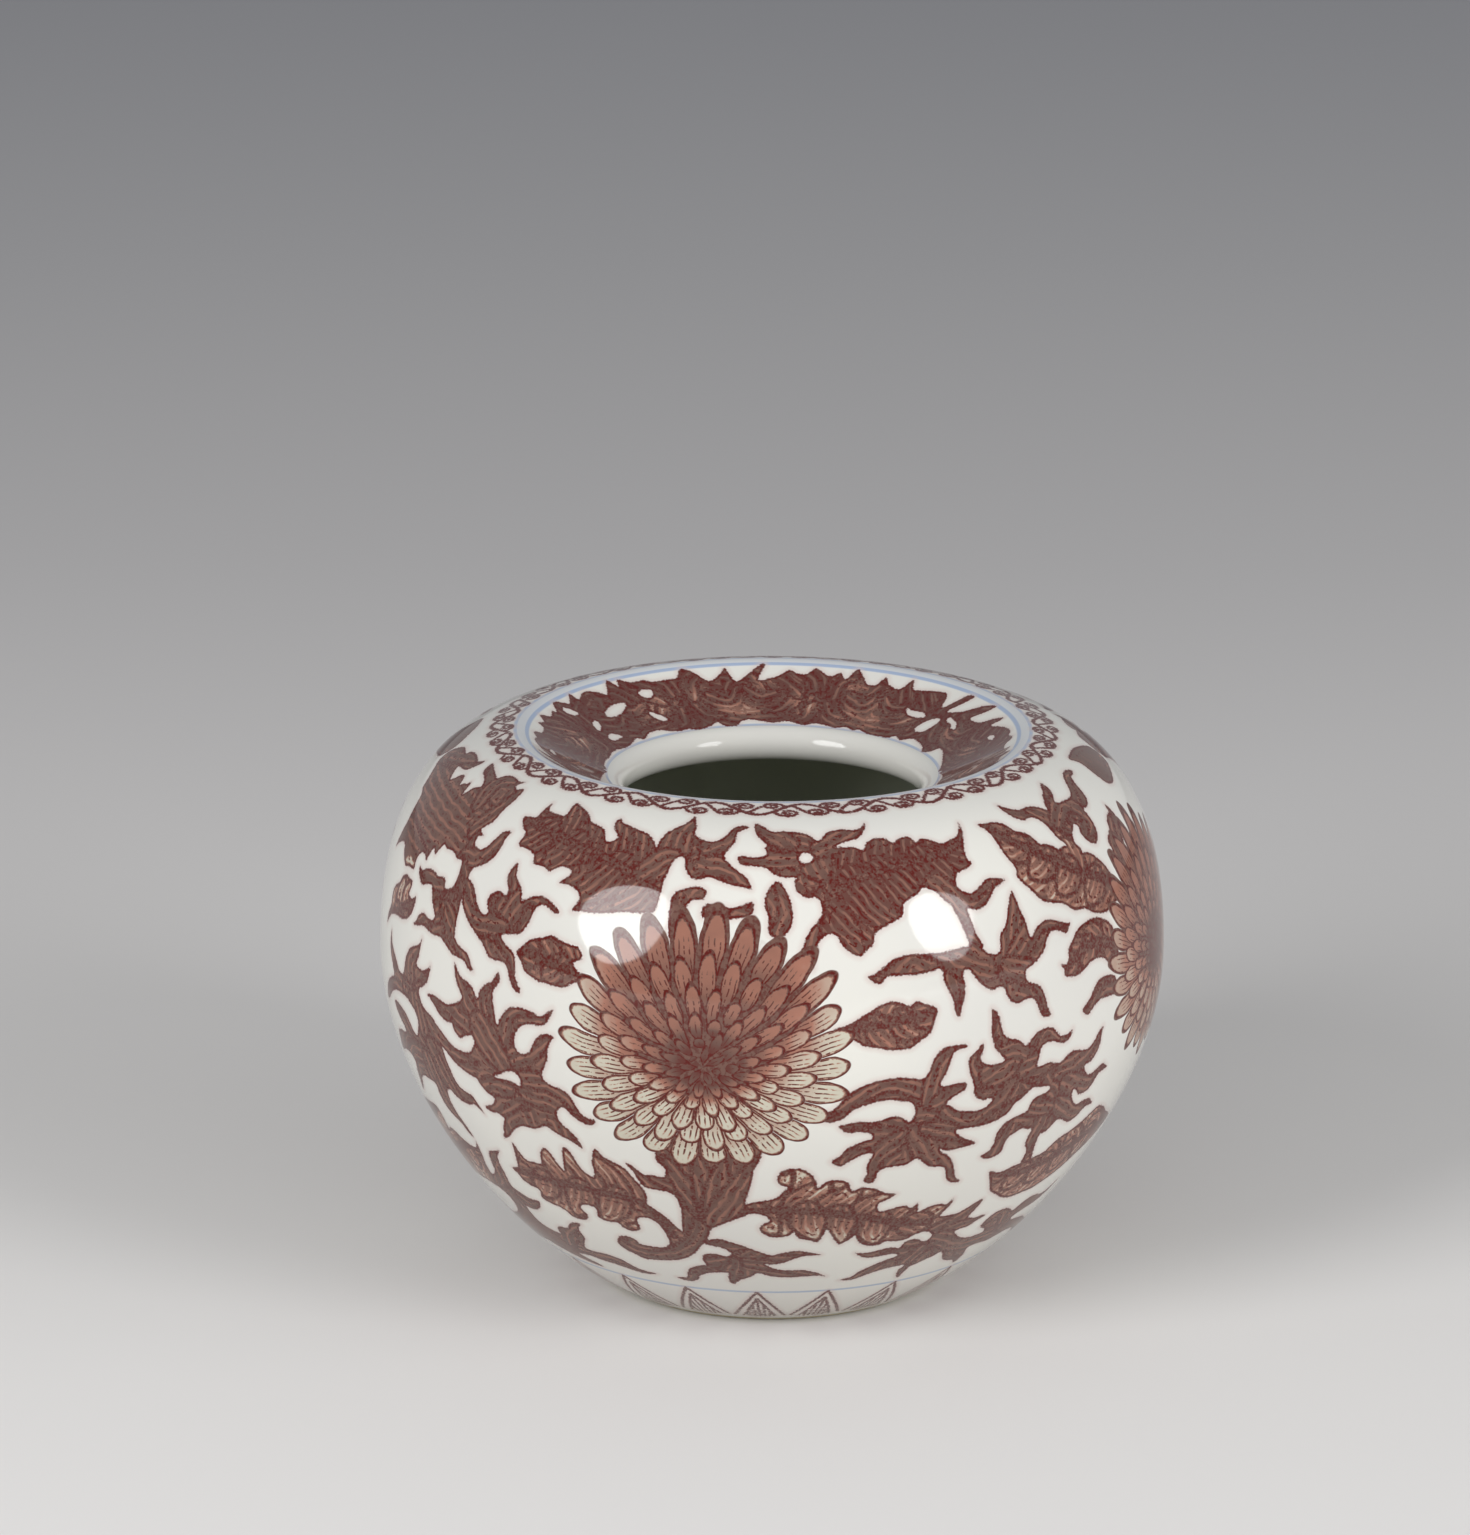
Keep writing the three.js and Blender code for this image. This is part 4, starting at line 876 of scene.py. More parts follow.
     (-71.2, 51.4), (-72, 52.5), (-70.7, 52.8), (-68.8, 52.6), (-67.1, 52.2), (-65.7, 51.4),
     (-64.5, 50.3), (-63.3, 50.2), (-62.6, 51.2), (-62.2, 52.4), (-62.8, 53.5), (-64, 54.1),
     (-65.9, 54.7), (-68.3, 54.7), (-70.2, 54.5), (-72.1, 53.9), (-73.8, 53), (-75.4, 52),
     (-77, 51.5), (-76.4, 53), (-75.4, 54.1), (-73.5, 55.3), (-71.4, 56.2), (-72.1, 57.4),
     (-73.3, 58.7), (-73.8, 60.1), (-73.5, 61.8), (-72.8, 60.1), (-71.2, 59.1), (-69.7, 58),
     (-68.5, 57.4), (-67.1, 57.6), (-66.6, 58.9), (-66.1, 60.3), (-64.9, 61.6), (-63.3, 62.3),
     (-61.9, 62.9), (-61.1, 63.9), (-61.5, 62.5), (-61.8, 61.3), (-62.4, 60.2), (-61.6, 59.8),
     (-60, 59.9), (-58.7, 60.5)],
    # Stem under the front flower, with its curl, its two leaves and the right sprig they reach.
    [(-46.8, 34), (-45.1, 34.6), (-44.6, 35.7), (-44.1, 37.3), (-43.7, 39.2), (-42.9, 37.8),
     (-42, 36.7), (-40.1, 36.7), (-38.7, 36.8), (-38.3, 38), (-37.8, 39.2), (-36.7, 40),
     (-35.9, 39.4), (-35.3, 38.2), (-34.3, 36.6), (-33.9, 37.8), (-33.6, 39), (-33.1, 40.7),
     (-32.3, 40.9), (-31.6, 40), (-31.1, 38.6), (-30.2, 37.3), (-28.8, 36.6), (-28.3, 37.8),
     (-28.2, 39.4), (-27.6, 41.1), (-26.9, 41.8), (-26, 40.7), (-24.3, 40), (-22.7, 39.2),
     (-21.8, 38), (-21, 36.9), (-20.4, 36.1), (-20, 34.4), (-20.3, 33.2), (-18.7, 31.9),
     (-17.3, 30.7), (-16.4, 29.4), (-15.3, 28.2), (-15, 29.8), (-14.7, 31.5), (-14.6, 33.2),
     (-15, 35), (-16.1, 35.9), (-17.8, 36.1), (-19.8, 36.3), (-20.6, 37.1), (-21.2, 38.6),
     (-22.3, 40.2), (-21.2, 39.8), (-19.8, 38.6), (-18.4, 38.7), (-16.4, 38.6), (-16.1, 40.3),
     (-17, 41.9), (-15, 42.2), (-12, 42.5), (-8, 42.5), (-5, 43), (-3, 44), (-1.3, 44.2),
     (-1.5, 43.6), (-2.4, 41.1), (-2.9, 38.6), (-3.5, 36.5), (-4, 34.6), (-2.6, 35),
     (-0.1, 35.5), (1, 35.9), (1.9, 36.9), (2.7, 37.8), (1.6, 38.2), (1, 39.2), (1.6, 40.5),
     (3, 41), (4.7, 40.9), (6.1, 40), (6.9, 38.8), (7.2, 37.5), (8.6, 38.6), (10.3, 38.8),
     (12, 38.2), (12.8, 36.6), (14.2, 37.2), (16.5, 36.7), (18.4, 35.7), (20.3, 35.3),
     (18.7, 34.4), (17.6, 33.8), (17.7, 32.6), (18.5, 32.2), (20, 32.5), (22.3, 32.8),
     (23.7, 32.2), (24.6, 32.9), (25, 31.8), (25.4, 31.1), (27.1, 31.8), (29.1, 32),
     (30.5, 31.6), (31.4, 32.6), (31.5, 31.6), (30.5, 30.1), (30.2, 29.3), (31.9, 29.1),
     (33.9, 29.1), (35.3, 29.7), (36.8, 30.5), (38.3, 31), (38.2, 29.9), (37.6, 28.7),
     (37.1, 27.6), (38.8, 27), (40.5, 27.1), (41.6, 26.8), (40.2, 26.2), (38.8, 25.3),
     (36.8, 25.1), (35.9, 24.7), (37.1, 23.7), (39, 22.6), (41.6, 22), (43.6, 22),
     (44.9, 22.2), (44.7, 23), (43.3, 23.7), (42.5, 24.3), (43, 25.5), (43.9, 26.4),
     (45.6, 26.8), (47.6, 26.6), (49.3, 25.8), (50.4, 25.3), (51.9, 26.4), (53.6, 27),
     (55.9, 26.9), (57.6, 26.4), (60, 26.6), (62.5, 28), (61, 26), (58.7, 24.9), (56.4, 24.5),
     (54.4, 24.1), (52.4, 23.5), (53, 22.6), (55.3, 22.2), (57.6, 21.8), (59.8, 21.2),
     (62, 20.1), (66, 18.8), (72, 17.5), (78, 17.2), (85, 17.8), (92, 19), (100, 19.5),
     (106, 20.6), (106, 18), (100, 17), (92, 15.6), (84, 14.6), (76, 14.3), (68, 15.3),
     (62, 17.3), (60.4, 18.5), (57.6, 19.2), (55.3, 19.4), (53, 19.1), (50.7, 18.7),
     (48.4, 18.9), (46.2, 19.1), (44.3, 18.6), (45.5, 16.6), (45, 14.7), (43, 16),
     (40.5, 16.6), (38.5, 17.6), (37.1, 19.3), (36, 19.9), (34.8, 19.3), (33.1, 18.7),
     (31.4, 18), (30.2, 17.4), (29.7, 16.2), (29.4, 14.7), (28.5, 15.3), (27.8, 16.8),
     (28.2, 17.8), (28.4, 18.5), (26.5, 18.4), (24.5, 18.3), (22.3, 17.8), (20.5, 17.2),
     (18.5, 16.4), (16.8, 16.1), (14.8, 16.4), (17.1, 17), (18.3, 18.3), (20, 19.3),
     (21.7, 20.1), (23.4, 20.8), (24.8, 21.1), (25.2, 21.6), (24.3, 22.1), (22.8, 22.1),
     (20.5, 21.9), (18.5, 22), (17.1, 22.6), (15.9, 23.5), (17.4, 23.2), (19.4, 23.3),
     (21.4, 23.7), (23.4, 23.7), (24.8, 23.3), (25, 24.1), (25.7, 24.8), (26.9, 25),
     (28.2, 24.7), (29.1, 24.1), (30.1, 24), (30.7, 24.7), (30.5, 25.5), (29.4, 26.2),
     (28.2, 26.4), (26.5, 26), (25.1, 25.3), (23.4, 25.2), (21, 25.5), (20.3, 25),
     (18.2, 24.9), (16.2, 25.8), (15.3, 27), (14.8, 27.8), (14.2, 26.9), (13.1, 26.3),
     (12.5, 25.8), (11.8, 26.4), (11.1, 27.3), (10.4, 28.4), (9.6, 29.4), (9.1, 28),
     (8.3, 26.7), (6.9, 27.2), (5.2, 27.6), (4.4, 28.4), (4.1, 29.2), (3.3, 28.4), (1.9, 28),
     (0.2, 28), (-1.2, 28.8), (-1.8, 29.8), (-1.2, 30.7), (-0.1, 31.3), (-0.4, 32.1),
     (-1.8, 32.8), (-3.2, 32.8), (-4.6, 32.1), (-6.3, 31.3), (-8.3, 30.3), (-10, 29.3),
     (-10.5, 28.2), (-11.1, 26.9), (-12.5, 25.3), (-13.9, 23.6), (-15.6, 22.3), (-17.8, 21.3),
     (-20.6, 20.7), (-24, 20.3), (-25.5, 20.3), (-27.1, 21.1), (-28.8, 21.9), (-29.6, 23.2),
     (-29.1, 24.2), (-28.3, 25), (-26.6, 25.3), (-25.2, 24.8), (-24.8, 24), (-23.2, 23.8),
     (-21, 23.8), (-19.3, 24.2), (-18.3, 25.3), (-18.3, 26.5), (-18.7, 28.2), (-19.6, 29.6),
     (-21, 30.3), (-22.7, 30), (-23.2, 29.2), (-23.1, 28.2), (-23.5, 27.3), (-25.2, 26.8),
     (-26.6, 27.3), (-27.4, 28.2), (-28.8, 28), (-30.5, 28.2), (-31.1, 28.8), (-30.6, 30.2),
     (-31.6, 30.7), (-33.3, 30.5), (-34.2, 29.6), (-33.3, 28.6), (-33.9, 27.5), (-35.3, 27),
     (-37.3, 27.1), (-38.1, 28), (-39.5, 28.6), (-41.8, 29), (-42.8, 29.6), (-42.3, 30.7),
     (-42.6, 31.3), (-44, 31.5), (-45.4, 32.1), (-46, 33.2)],
    # Low sprig in the middle, and the leaf and sprig at the lower left.
    [(-11.9, 26.1), (-9.9, 27.1), (-8.3, 27.1), (-6.6, 26.5), (-4.6, 25.8), (-2.9, 25),
     (-1.5, 24.4), (0.2, 23.8), (1.9, 24.2), (3.5, 24.6), (5.2, 24.8), (6.9, 24.4),
     (9.4, 23.7), (7.5, 23.6), (5.8, 23.4), (4.1, 22.7), (2.4, 21.9), (0.5, 21.5), (-1, 21.6),
     (0.2, 20.7), (1.9, 20.1), (4.1, 19.9), (6.4, 19.9), (8.3, 19.4), (10, 18.7),
     (11.5, 17.8), (9.7, 18.2), (8, 18.1), (6.4, 18.1), (4.1, 18), (1.9, 18.1), (-0.1, 18.4),
     (-1.5, 19), (-2.6, 19.2), (-3.2, 18.6), (-4.6, 17.8), (-6, 17.1), (-7.1, 16.3),
     (-7.7, 15.7), (-8.5, 16.5), (-8.5, 17.8), (-8.3, 18.9), (-9.7, 18.9), (-11.6, 18.7),
     (-13.3, 18.2), (-14.7, 17.3), (-15.3, 16.3), (-16.7, 15.6), (-18.4, 15.6), (-20.1, 16.2),
     (-17.8, 16.5), (-17.3, 17.3), (-16.7, 18.6), (-15.6, 19.6), (-13.9, 20.3), (-12.4, 20.7),
     (-12.8, 21.7), (-12.5, 23), (-11.4, 23.6), (-9.7, 23.6), (-8.5, 23.2), (-7.6, 23.4),
     (-7.1, 24), (-7.7, 24.6), (-8.8, 25.3), (-10.2, 25.5)],
    [(-48.2, 36.7), (-49.9, 36.1), (-51.6, 35.5), (-52.4, 34.6), (-53, 33.2), (-53.6, 31.5),
     (-55, 30.5), (-56.2, 30.2), (-56, 32), (-55.2, 33.7), (-54.7, 36.2), (-55.9, 34.9),
     (-57.8, 34.7), (-60.2, 35.1), (-62.1, 35.8), (-64, 35.8), (-65.4, 35.1), (-65, 37),
     (-65.7, 38.7), (-68, 38.6), (-70.2, 38.3), (-73.1, 37.8), (-76, 36.6), (-79, 35.6),
     (-82.5, 34.5), (-86, 32.5), (-87, 30.5), (-84, 29), (-80, 28), (-76, 27.3), (-72, 26.5),
     (-68, 26.6), (-62, 27.3), (-59.2, 27.3), (-56.9, 27.1), (-55.5, 26.1), (-55.3, 24.8),
     (-56.4, 23.2), (-58.6, 21.9), (-62, 20.7), (-66, 20.3), (-70, 20.5), (-74, 20.8),
     (-74, 17.8), (-70, 17), (-66, 16), (-62, 15.6), (-56.4, 16.3), (-53.6, 15.9),
     (-50.2, 15.3), (-46.8, 14.8), (-43.4, 14.4), (-40.6, 14.3), (-40.4, 14.7), (-42.3, 15.3),
     (-44, 15.9), (-45.1, 16.5), (-42.9, 16.9), (-40.4, 17.1), (-37.8, 16.8), (-35, 16.7),
     (-32.8, 16.4), (-30.2, 15.9), (-28.3, 15.7), (-26, 15.9), (-24.6, 16.3), (-26, 16.4),
     (-28.3, 16.7), (-30, 17.5), (-31.6, 18.5), (-33.9, 19), (-36.1, 19.1), (-38.4, 18.9),
     (-40.4, 19.2), (-39.8, 20), (-39, 21.1), (-37.9, 22.3), (-38.1, 23.6), (-37.5, 24.8),
     (-36.3, 25.8), (-38.1, 25.6), (-39.5, 25), (-40.6, 24), (-41.5, 23.5), (-43.5, 23.3),
     (-44.9, 22.3), (-45.3, 21.2), (-48.8, 21.5), (-50.2, 22.3), (-50.8, 23.2), (-50.8, 24.8),
     (-50.4, 25.6), (-49.1, 25.5), (-47.1, 25.9), (-45.4, 26.9), (-44.5, 28.3), (-46.8, 28.1),
     (-49.1, 28.6), (-50.7, 29.3), (-50.8, 30.3), (-50.4, 31.9), (-50.3, 33.6), (-49.9, 35),
     (-48.8, 36.1)],
    # Long hatched leaf at the right.
    [(36.8, 36.4), (38.5, 35.8), (40.5, 35.8), (42.2, 36.2), (43.9, 36.2), (46.2, 36.6),
     (48.4, 36.8), (49.6, 37.6), (51.3, 38.5), (53.6, 38.9), (55.9, 39.5), (58.1, 40.3),
     (60.3, 41), (62.2, 40.6), (64, 39.8), (66, 38.6), (68.5, 37.6), (71, 36.2), (69, 34.8),
     (65.5, 33.6), (62, 32.6), (59.3, 31.6), (57, 30.8), (54.1, 30.1), (51.3, 29.5),
     (48.4, 29.5), (45.6, 29.4), (43, 30.1), (41, 31.2), (39, 32.4), (37.9, 34.3)],
]
HOLES = [
    [(4.3, 82.6), (5, 83.5), (6.2, 83.4), (6.8, 82.7), (6, 82.1), (5, 82)],
    [(-43.8, 49.5), (-42.4, 50), (-41.3, 50.6), (-39.9, 51), (-38.9, 50.7), (-38.4, 50),
     (-38.7, 49.1), (-39.6, 49.3), (-41.3, 49.5), (-42.7, 49.3)],
]
print(sum(map(len, SHAPES)), "points in", len(SHAPES), "outlines")

# %% [markdown]
# ## The dish
# The hollow round the mouth is filled with the same scroll, so dense that the tongues run into
# one band with a few holes. Its far half shows in full, so its edge was read there and the near
# half repeats it. Where the copper lay thin, the fired wash is pinker.

# %% Outlines in the dish
DISH_EDGE = [
    (90, 106.4), (94, 106.8), (97, 106.5), (100, 106.2), (104, 105.7), (108, 105.2), (111, 105.2),
    (112, 106.1), (114, 106.9), (116, 107), (118, 106.4), (123, 105.9), (126, 105.7),
    (128, 106.1), (130, 106.7), (132, 106.5), (134, 106.3), (136, 107), (139, 107.1),
    (143, 107.2), (146, 107), (149, 106.6), (151, 107), (154, 106.5), (158, 107), (162, 106.6),
    (166, 106.5), (169, 107), (172, 106.6), (176, 106.3), (180, 106.7), (184, 106.3),
    (188, 105.9), (191, 106.3), (193, 107.1), (197, 107), (199, 106.1), (202, 106.7),
    (205, 107.1), (208, 107.1), (211, 106.7), (214, 106.9), (218, 106.5), (221, 105.9),
    (226, 105.9), (229, 106.5), (231, 106.7), (233, 106.1), (236, 106.5), (242, 106.9),
    (247, 106.5), (251, 106.4), (256, 106.7), (260, 106.5), (265, 106.6), (270.5, 106.4),
    (270.5, 97.3), (268, 96.6), (266, 97.5), (262, 97.4), (261, 96.5), (258, 97), (256, 95.9),
    (253, 97.1), (250, 96.6), (248.5, 97), (246, 95.6), (243, 96.3), (241, 96.9), (238, 95.5),
    (237, 96.9), (233, 96), (229, 96.9), (227, 97.6), (224, 95.3), (222, 96.9), (221, 95.6),
    (218, 96.5), (214, 96.6), (212, 97.1), (208, 97.1), (205, 97), (203, 95.5), (200, 96.4),
    (197, 98.2), (193.5, 97), (192, 96), (190.5, 98.2), (189, 98.4), (186, 97), (183, 95.5),
    (182, 95.7), (184, 98.3), (180, 97.9), (178, 97.3), (176, 96.5), (174, 97.1), (171.5, 97.1),
    (169.5, 96), (167, 96.9), (165, 97.2), (163, 96.5), (161.5, 97.6), (160.5, 97), (159, 95.5),
    (157, 96.7), (155, 98), (152.5, 97.9), (151, 96.3), (149.5, 97.4), (147, 98), (145, 97.7),
    (143.5, 95.9), (142, 97.4), (140, 97.5), (135, 96.9), (131, 96.9), (129, 99.2), (127, 98),
    (125, 96), (122.5, 95.8), (124, 97.5), (126, 99.6), (121, 98.6), (117, 96.6), (112.5, 95.5),
    (114, 97.4), (116, 99), (111, 98.9), (107.5, 97.1), (104.5, 96.2), (105.5, 98.2), (102, 97.5),
    (99, 96.9), (95, 96.5), (92, 96.9), (90, 97.3),
]
DISH_HOLES = [
    [(124.7, 101.4), (125.4, 103.6), (127.5, 104.4), (130, 104.1), (129.6, 102.6), (127, 101.2)],
    [(116, 101.4), (117.6, 101.8), (119.5, 101.2), (122.5, 101), (123, 100.2), (119, 100.5)],
    [(131, 101.5), (133, 102.1), (137, 102), (139.5, 100.9), (136.5, 101.1), (133, 100.9)],
    [(95.5, 99.1), (98, 99.6), (100, 99.3), (98, 98.6)],
    [(215, 104.1), (217, 104.4), (219.4, 103.3), (219.2, 102.2), (217, 103)],
    [(213.5, 98.6), (215, 99.7), (217, 99.6), (218, 98.6), (216, 98.1)],
    [(224, 99.8), (227, 101), (231, 101.5), (234, 101), (233, 100.2), (228, 99.4)],
    [(237, 105), (240, 105.2), (243, 105), (243, 104.1), (240, 103.8)],
    [(239, 101.1), (240.5, 102.3), (243, 102.7), (242.4, 101.4), (240.5, 100.9)],
    [(242, 98.8), (244, 98.9), (246, 97.8), (245, 96.9), (243, 97.7)],
]
DISH_SPRIGS = [
    (1.5, (-9, 100), (-5, 103.5), (2, 102)), (1.3, (-8, 101), (-11, 104), (-17, 105)),
    (1.2, (0, 101), (5, 104), (11, 104.5)), (1.2, (-9, 101), (-10, 98), (-15, 96.8)),
    (1.1, (1, 101), (5, 99), (9, 97)), (1.2, (-4, 103), (-3, 105.5), (2, 106.3)),
    (1.1, (-3, 100), (-2, 98), (2, 96.6)), (1.2, (-14, 100.5), (-19, 101.5), (-22, 99)),
    (1.2, (8, 101), (13, 101.5), (17, 99)), (1.0, (11, 100), (14, 97.8), (19, 97)),
]
DISH_PINK = [(98, 102.6), (116.5, 102.3), (136, 102.9), (156.5, 104.3), (157.5, 99), (169, 103),
             (172.5, 102), (183.5, 99), (186.5, 104), (193.5, 103.5), (202, 100.6), (212, 101.3),
             (216, 101.4), (221, 102.4), (255, 102.3), (257.5, 101.2), (147, 104.8), (149, 101)]
PINK_SIZE = 1.9       # mm
DISH_LOTS = 9         # how often the handful of tongues repeats round the dish
DISH_START = 12       # degrees


def paint_dish(on):
    """Dense tongues all round the dish. Their tone is darker than the body's, and that extra
    darkness is painted shade of the hollow dish.
    """
    for k in range(DISH_LOTS):
        turn = DISH_START + WHOLE_TURN // DISH_LOTS * k
        for width, *path in DISH_SPRIGS:
            path = [(t + turn, s) for t, s in path]
            stroke(on, path, width, tone=2.55, streak=1.1, repeat=WHOLE_TURN)


def thin_copper(on):
    """Pinker places in the dish, where the copper is thin."""
    turn, where = np.meshgrid(on["turns"], on["rises"])
    radius = at_rise(outline[:, 0], where)
    for middle, height in DISH_PINK:
        aside = np.radians(beside(turn, middle)) * radius
        gap = (aside**2 + (where - height) ** 2) / PINK_SIZE**2
        on["tone"] -= np.exp(-gap)


print(len(DISH_EDGE), "points round the dish, with", len(DISH_HOLES), "holes")

# %% [markdown]
# ## Order of painting
# The strokes are laid first, then the outlines cut them to shape, and the flowers come last.

# %% Painting the whole body
def paint_scroll(on):
    """The whole body, in the order in which one thing covers the next."""
    for rib, tips, width, tone, fade in LEAVES:
        leaf(on, rib, tips, width, tone=tone, fade=fade, streak=1.15, pitch=1.1)
    for width, *path in SPRIGS:
        stroke(on, path, width * FULLNESS)
    paint_dish(on)
    for points in [*SHAPES, DISH_EDGE]:
        patch(on, points)
    for points in HOLES + DISH_HOLES:
        patch(on, points, hole=True)
    settle(on)
    thin_copper(on)
    paint_flowers(on)


print(len(SPRIGS) + DISH_LOTS * len(DISH_SPRIGS), "tongues and", len(LEAVES), "leaves are laid")

# %% [markdown]
# ## Borders
# A wave runs round the shoulder with a pair of curls in each hollow, and pointed panels stand on
# the foot. They repeat, so each is one small motif in a loop. These lines are drawn last, over
# the finished fields.

# %% Shoulder wave and foot panels
WAVES, PANELS = 20, 22
WAVE_START, PANEL_START = -12, -3   # degrees
WAVE_RISE, WAVE_HEIGHT = 91.8, 1.35
WAVE_WIDTH, STEM_WIDTH, CURL_WIDTH, HATCH_WIDTH = 0.27, 0.24, 0.23, 0.15   # half, in mm
PANEL_FRAMES = (  # degrees to each side, rise of its corners and of its tip, half width of a line
    (7.2, 3.6, 13.2, 0.2), (4.6, 3.2, 11.0, 0.18),
)
HATCHES = (-0.62, -0.3, 0.0, 0.3, 0.62)   # places in the inner frame, as shares of its half
FINE_LINE = dict(form="stem", streak=0.0, soft=0.0, repeat=WHOLE_TURN)


def paint_shoulder(on):
    """The wave, laid in ten short runs, and a stem with two curls in each hollow."""
    pitch = WHOLE_TURN / WAVES
    turns = WAVE_START + np.arange(0, WHOLE_TURN + 1, pitch / 8)
    swing = np.cos(np.radians((turns - WAVE_START) * WAVES))
    wave = np.stack([turns, WAVE_RISE + WAVE_HEIGHT * swing], -1)
    for a in range(0, len(wave) - 1, 16):
        stroke(on, wave[a : a + 17], WAVE_WIDTH, tone=3.0, **FINE_LINE)
    for k in range(2 * WAVES):
        middle, above = WAVE_START + k * pitch / 2, 1 if k % 2 else -1
        height = WAVE_RISE - 0.05 + 0.8 * above
        stem = [(middle - 2, height - 1.9 * above), (middle, height - 0.5 * above),
                (middle + 1.6, height + 0.5 * above)]
        stroke(on, stem, STEM_WIDTH, tone=3.0, **FINE_LINE)
        for side in (-1, 1):
            curl = [
                (middle + side * (2.9 + 2.4 * math.cos(a) * (1 - a / 11)),
                 height + 0.1 * side + 0.85 * above * math.sin(a) * (1 - a / 11))
                for a in np.arange(0, 8.5, 0.7)
            ]
            stroke(on, curl, CURL_WIDTH, tone=3.0, **FINE_LINE)


def paint_foot(on):
    """Each panel is a pointed frame within another, hatched upright inside."""
    for k in range(PANELS):
        middle = PANEL_START + k * WHOLE_TURN / PANELS
        for wide, low, high, width in PANEL_FRAMES:
            for side in (-wide, wide):
                stroke(on, [(middle + side, low), (middle, high)], width, tone=1.7, **FINE_LINE)
        for share in HATCHES:
            turn = middle + share * PANEL_FRAMES[-1][0]
            hatch = [(turn, 2.8), (turn, 10.4 - 7.2 * abs(share))]
            stroke(on, hatch, HATCH_WIDTH, tone=1.25, **FINE_LINE)


print(WAVES, "waves and", PANELS, "panels")

# %% [markdown]
# ## Materials
# Porcelain is a white, dense clay. Its glaze is a clear glass a few tenths of a millimetre thick,
# so it is smooth and glossy with an index of refraction near 1.5. The painting lies under the
# glaze, so it changes the colour and not the gloss. Copper red doesn't fire evenly: lines break
# into dots and the wash is cloudy, which comes from noise at the size of the real grain.

# %% Plain glaze
MM = 0.001
GLAZE, GLAZE_SHADE, GLAZE_ROUGHNESS, GLAZE_IOR = "#e5e3db", "#dfddd7", 0.06, 1.5
# INSIDE and INSIDE_SHADE are greyer than the glaze outside: painted shade inside the hollow jar.
INSIDE, INSIDE_SHADE = "#d2d4c5", "#c6c9b9"
WAVINESS, WAVE_DEPTH = 14 * MM, 0.4 * MM   # the slow waves that a brushed-on glaze keeps
TINT_CLOUD, INSIDE_CLOUD = 30 * MM, 18 * MM   # size of the faint changes of tint in the glaze
PAINT_DEPTH = 0.05 * MM                    # relief of the painting under the glaze
MATH, RANGE, NOISE = "ShaderNodeMath", "ShaderNodeMapRange", "ShaderNodeTexNoise"


def glaze_shader(tree, place, colour, painting=None):
    """A clear glaze over the colour, with slow waves, and the faint relief of a painting."""
    waves = add(tree, NOISE, {"Vector": place, "Scale": 1 / WAVINESS, "Detail": 1.0})
    bump = {"Height": waves, "Strength": 0.25, "Distance": WAVE_DEPTH}
    relief = add(tree, "ShaderNodeBump", bump)
    if painting is not None:
        bump = {"Height": painting, "Strength": 0.35, "Distance": PAINT_DEPTH, "Normal": relief}
        relief = add(tree, "ShaderNodeBump", bump)
    glass = {"Base Color": colour, "Roughness": GLAZE_ROUGHNESS, "IOR": GLAZE_IOR,
             "Normal": relief}
    surface = add(tree, "ShaderNodeBsdfPrincipled", glass)
    add(tree, "ShaderNodeOutputMaterial", {"Surface": surface})


plain = []
for name, size, shade, tint in (
    ("clear_glaze_over_porcelain", TINT_CLOUD, GLAZE_SHADE, GLAZE),
    ("inside_glaze_with_painted_shade", INSIDE_CLOUD, INSIDE_SHADE, INSIDE),
):
    made, tree = blank(name)
    place = add(tree, "ShaderNodeTexCoord", out="Object")
    cloud = add(tree, NOISE, {"Vector": place, "Scale": 1 / size, "Detail": 2.0})
    glaze_shader(tree, place, ramp(tree, cloud, [(0.3, shade), (0.7, tint)]))
    plain.append(made)
plain_glaze, inside_glaze = plain
print("plain glazes:", [m.name for m in plain])

# %% [markdown]
# ## Copper red
# The painted porcelain reads what the brush left: "brush" holds edge, phase and tone, "fill"
# holds streak, dusk and rise, and "bloom" is the place on a flower. Darkness goes from bare cream
# at 0 through salmon and the grey wash at 2 to the red line at 3.

# %% Outline of a stroke
CREAM, SALMON, WASH, DARK = "#cbc5b3", "#a36f5d", "#694c43", "#5c1007"
RED_LINE = 3.0            # darkness of a line
GRAIN = 0.3 * MM          # size of the grains in a copper red line
CLOUD = 2.4 * MM          # size of the clouds in the wash
LINE_FULL, LINE_END = 0.2, 0.58   # mm inside the edge to which the line is full, and where it ends
INNER_LINE = 0.95         # mm inside the edge at which a second line runs
VECTOR, JOIN, PART = "ShaderNodeVectorMath", "ShaderNodeCombineXYZ", "ShaderNodeSeparateXYZ"

painted, tree = blank("underglaze_copper_red")
place = add(tree, "ShaderNodeTexCoord", out="Object")
brush = add(tree, "ShaderNodeAttribute", out="Vector", attribute_name="brush")
edge, phase, tone = add(tree, PART, {0: brush}).node.outputs
fill = add(tree, "ShaderNodeAttribute", out="Vector", attribute_name="fill")
streak, dusk, height = add(tree, PART, {0: fill}).node.outputs
bloom = add(tree, "ShaderNodeAttribute", out="Vector", attribute_name="bloom")
grain, speck, cloud = [
    add(tree, NOISE, {"Vector": place, "Scale": 1 / size, "Detail": 2.0})
    for size in (GRAIN, 1.8 * GRAIN, CLOUD)
]

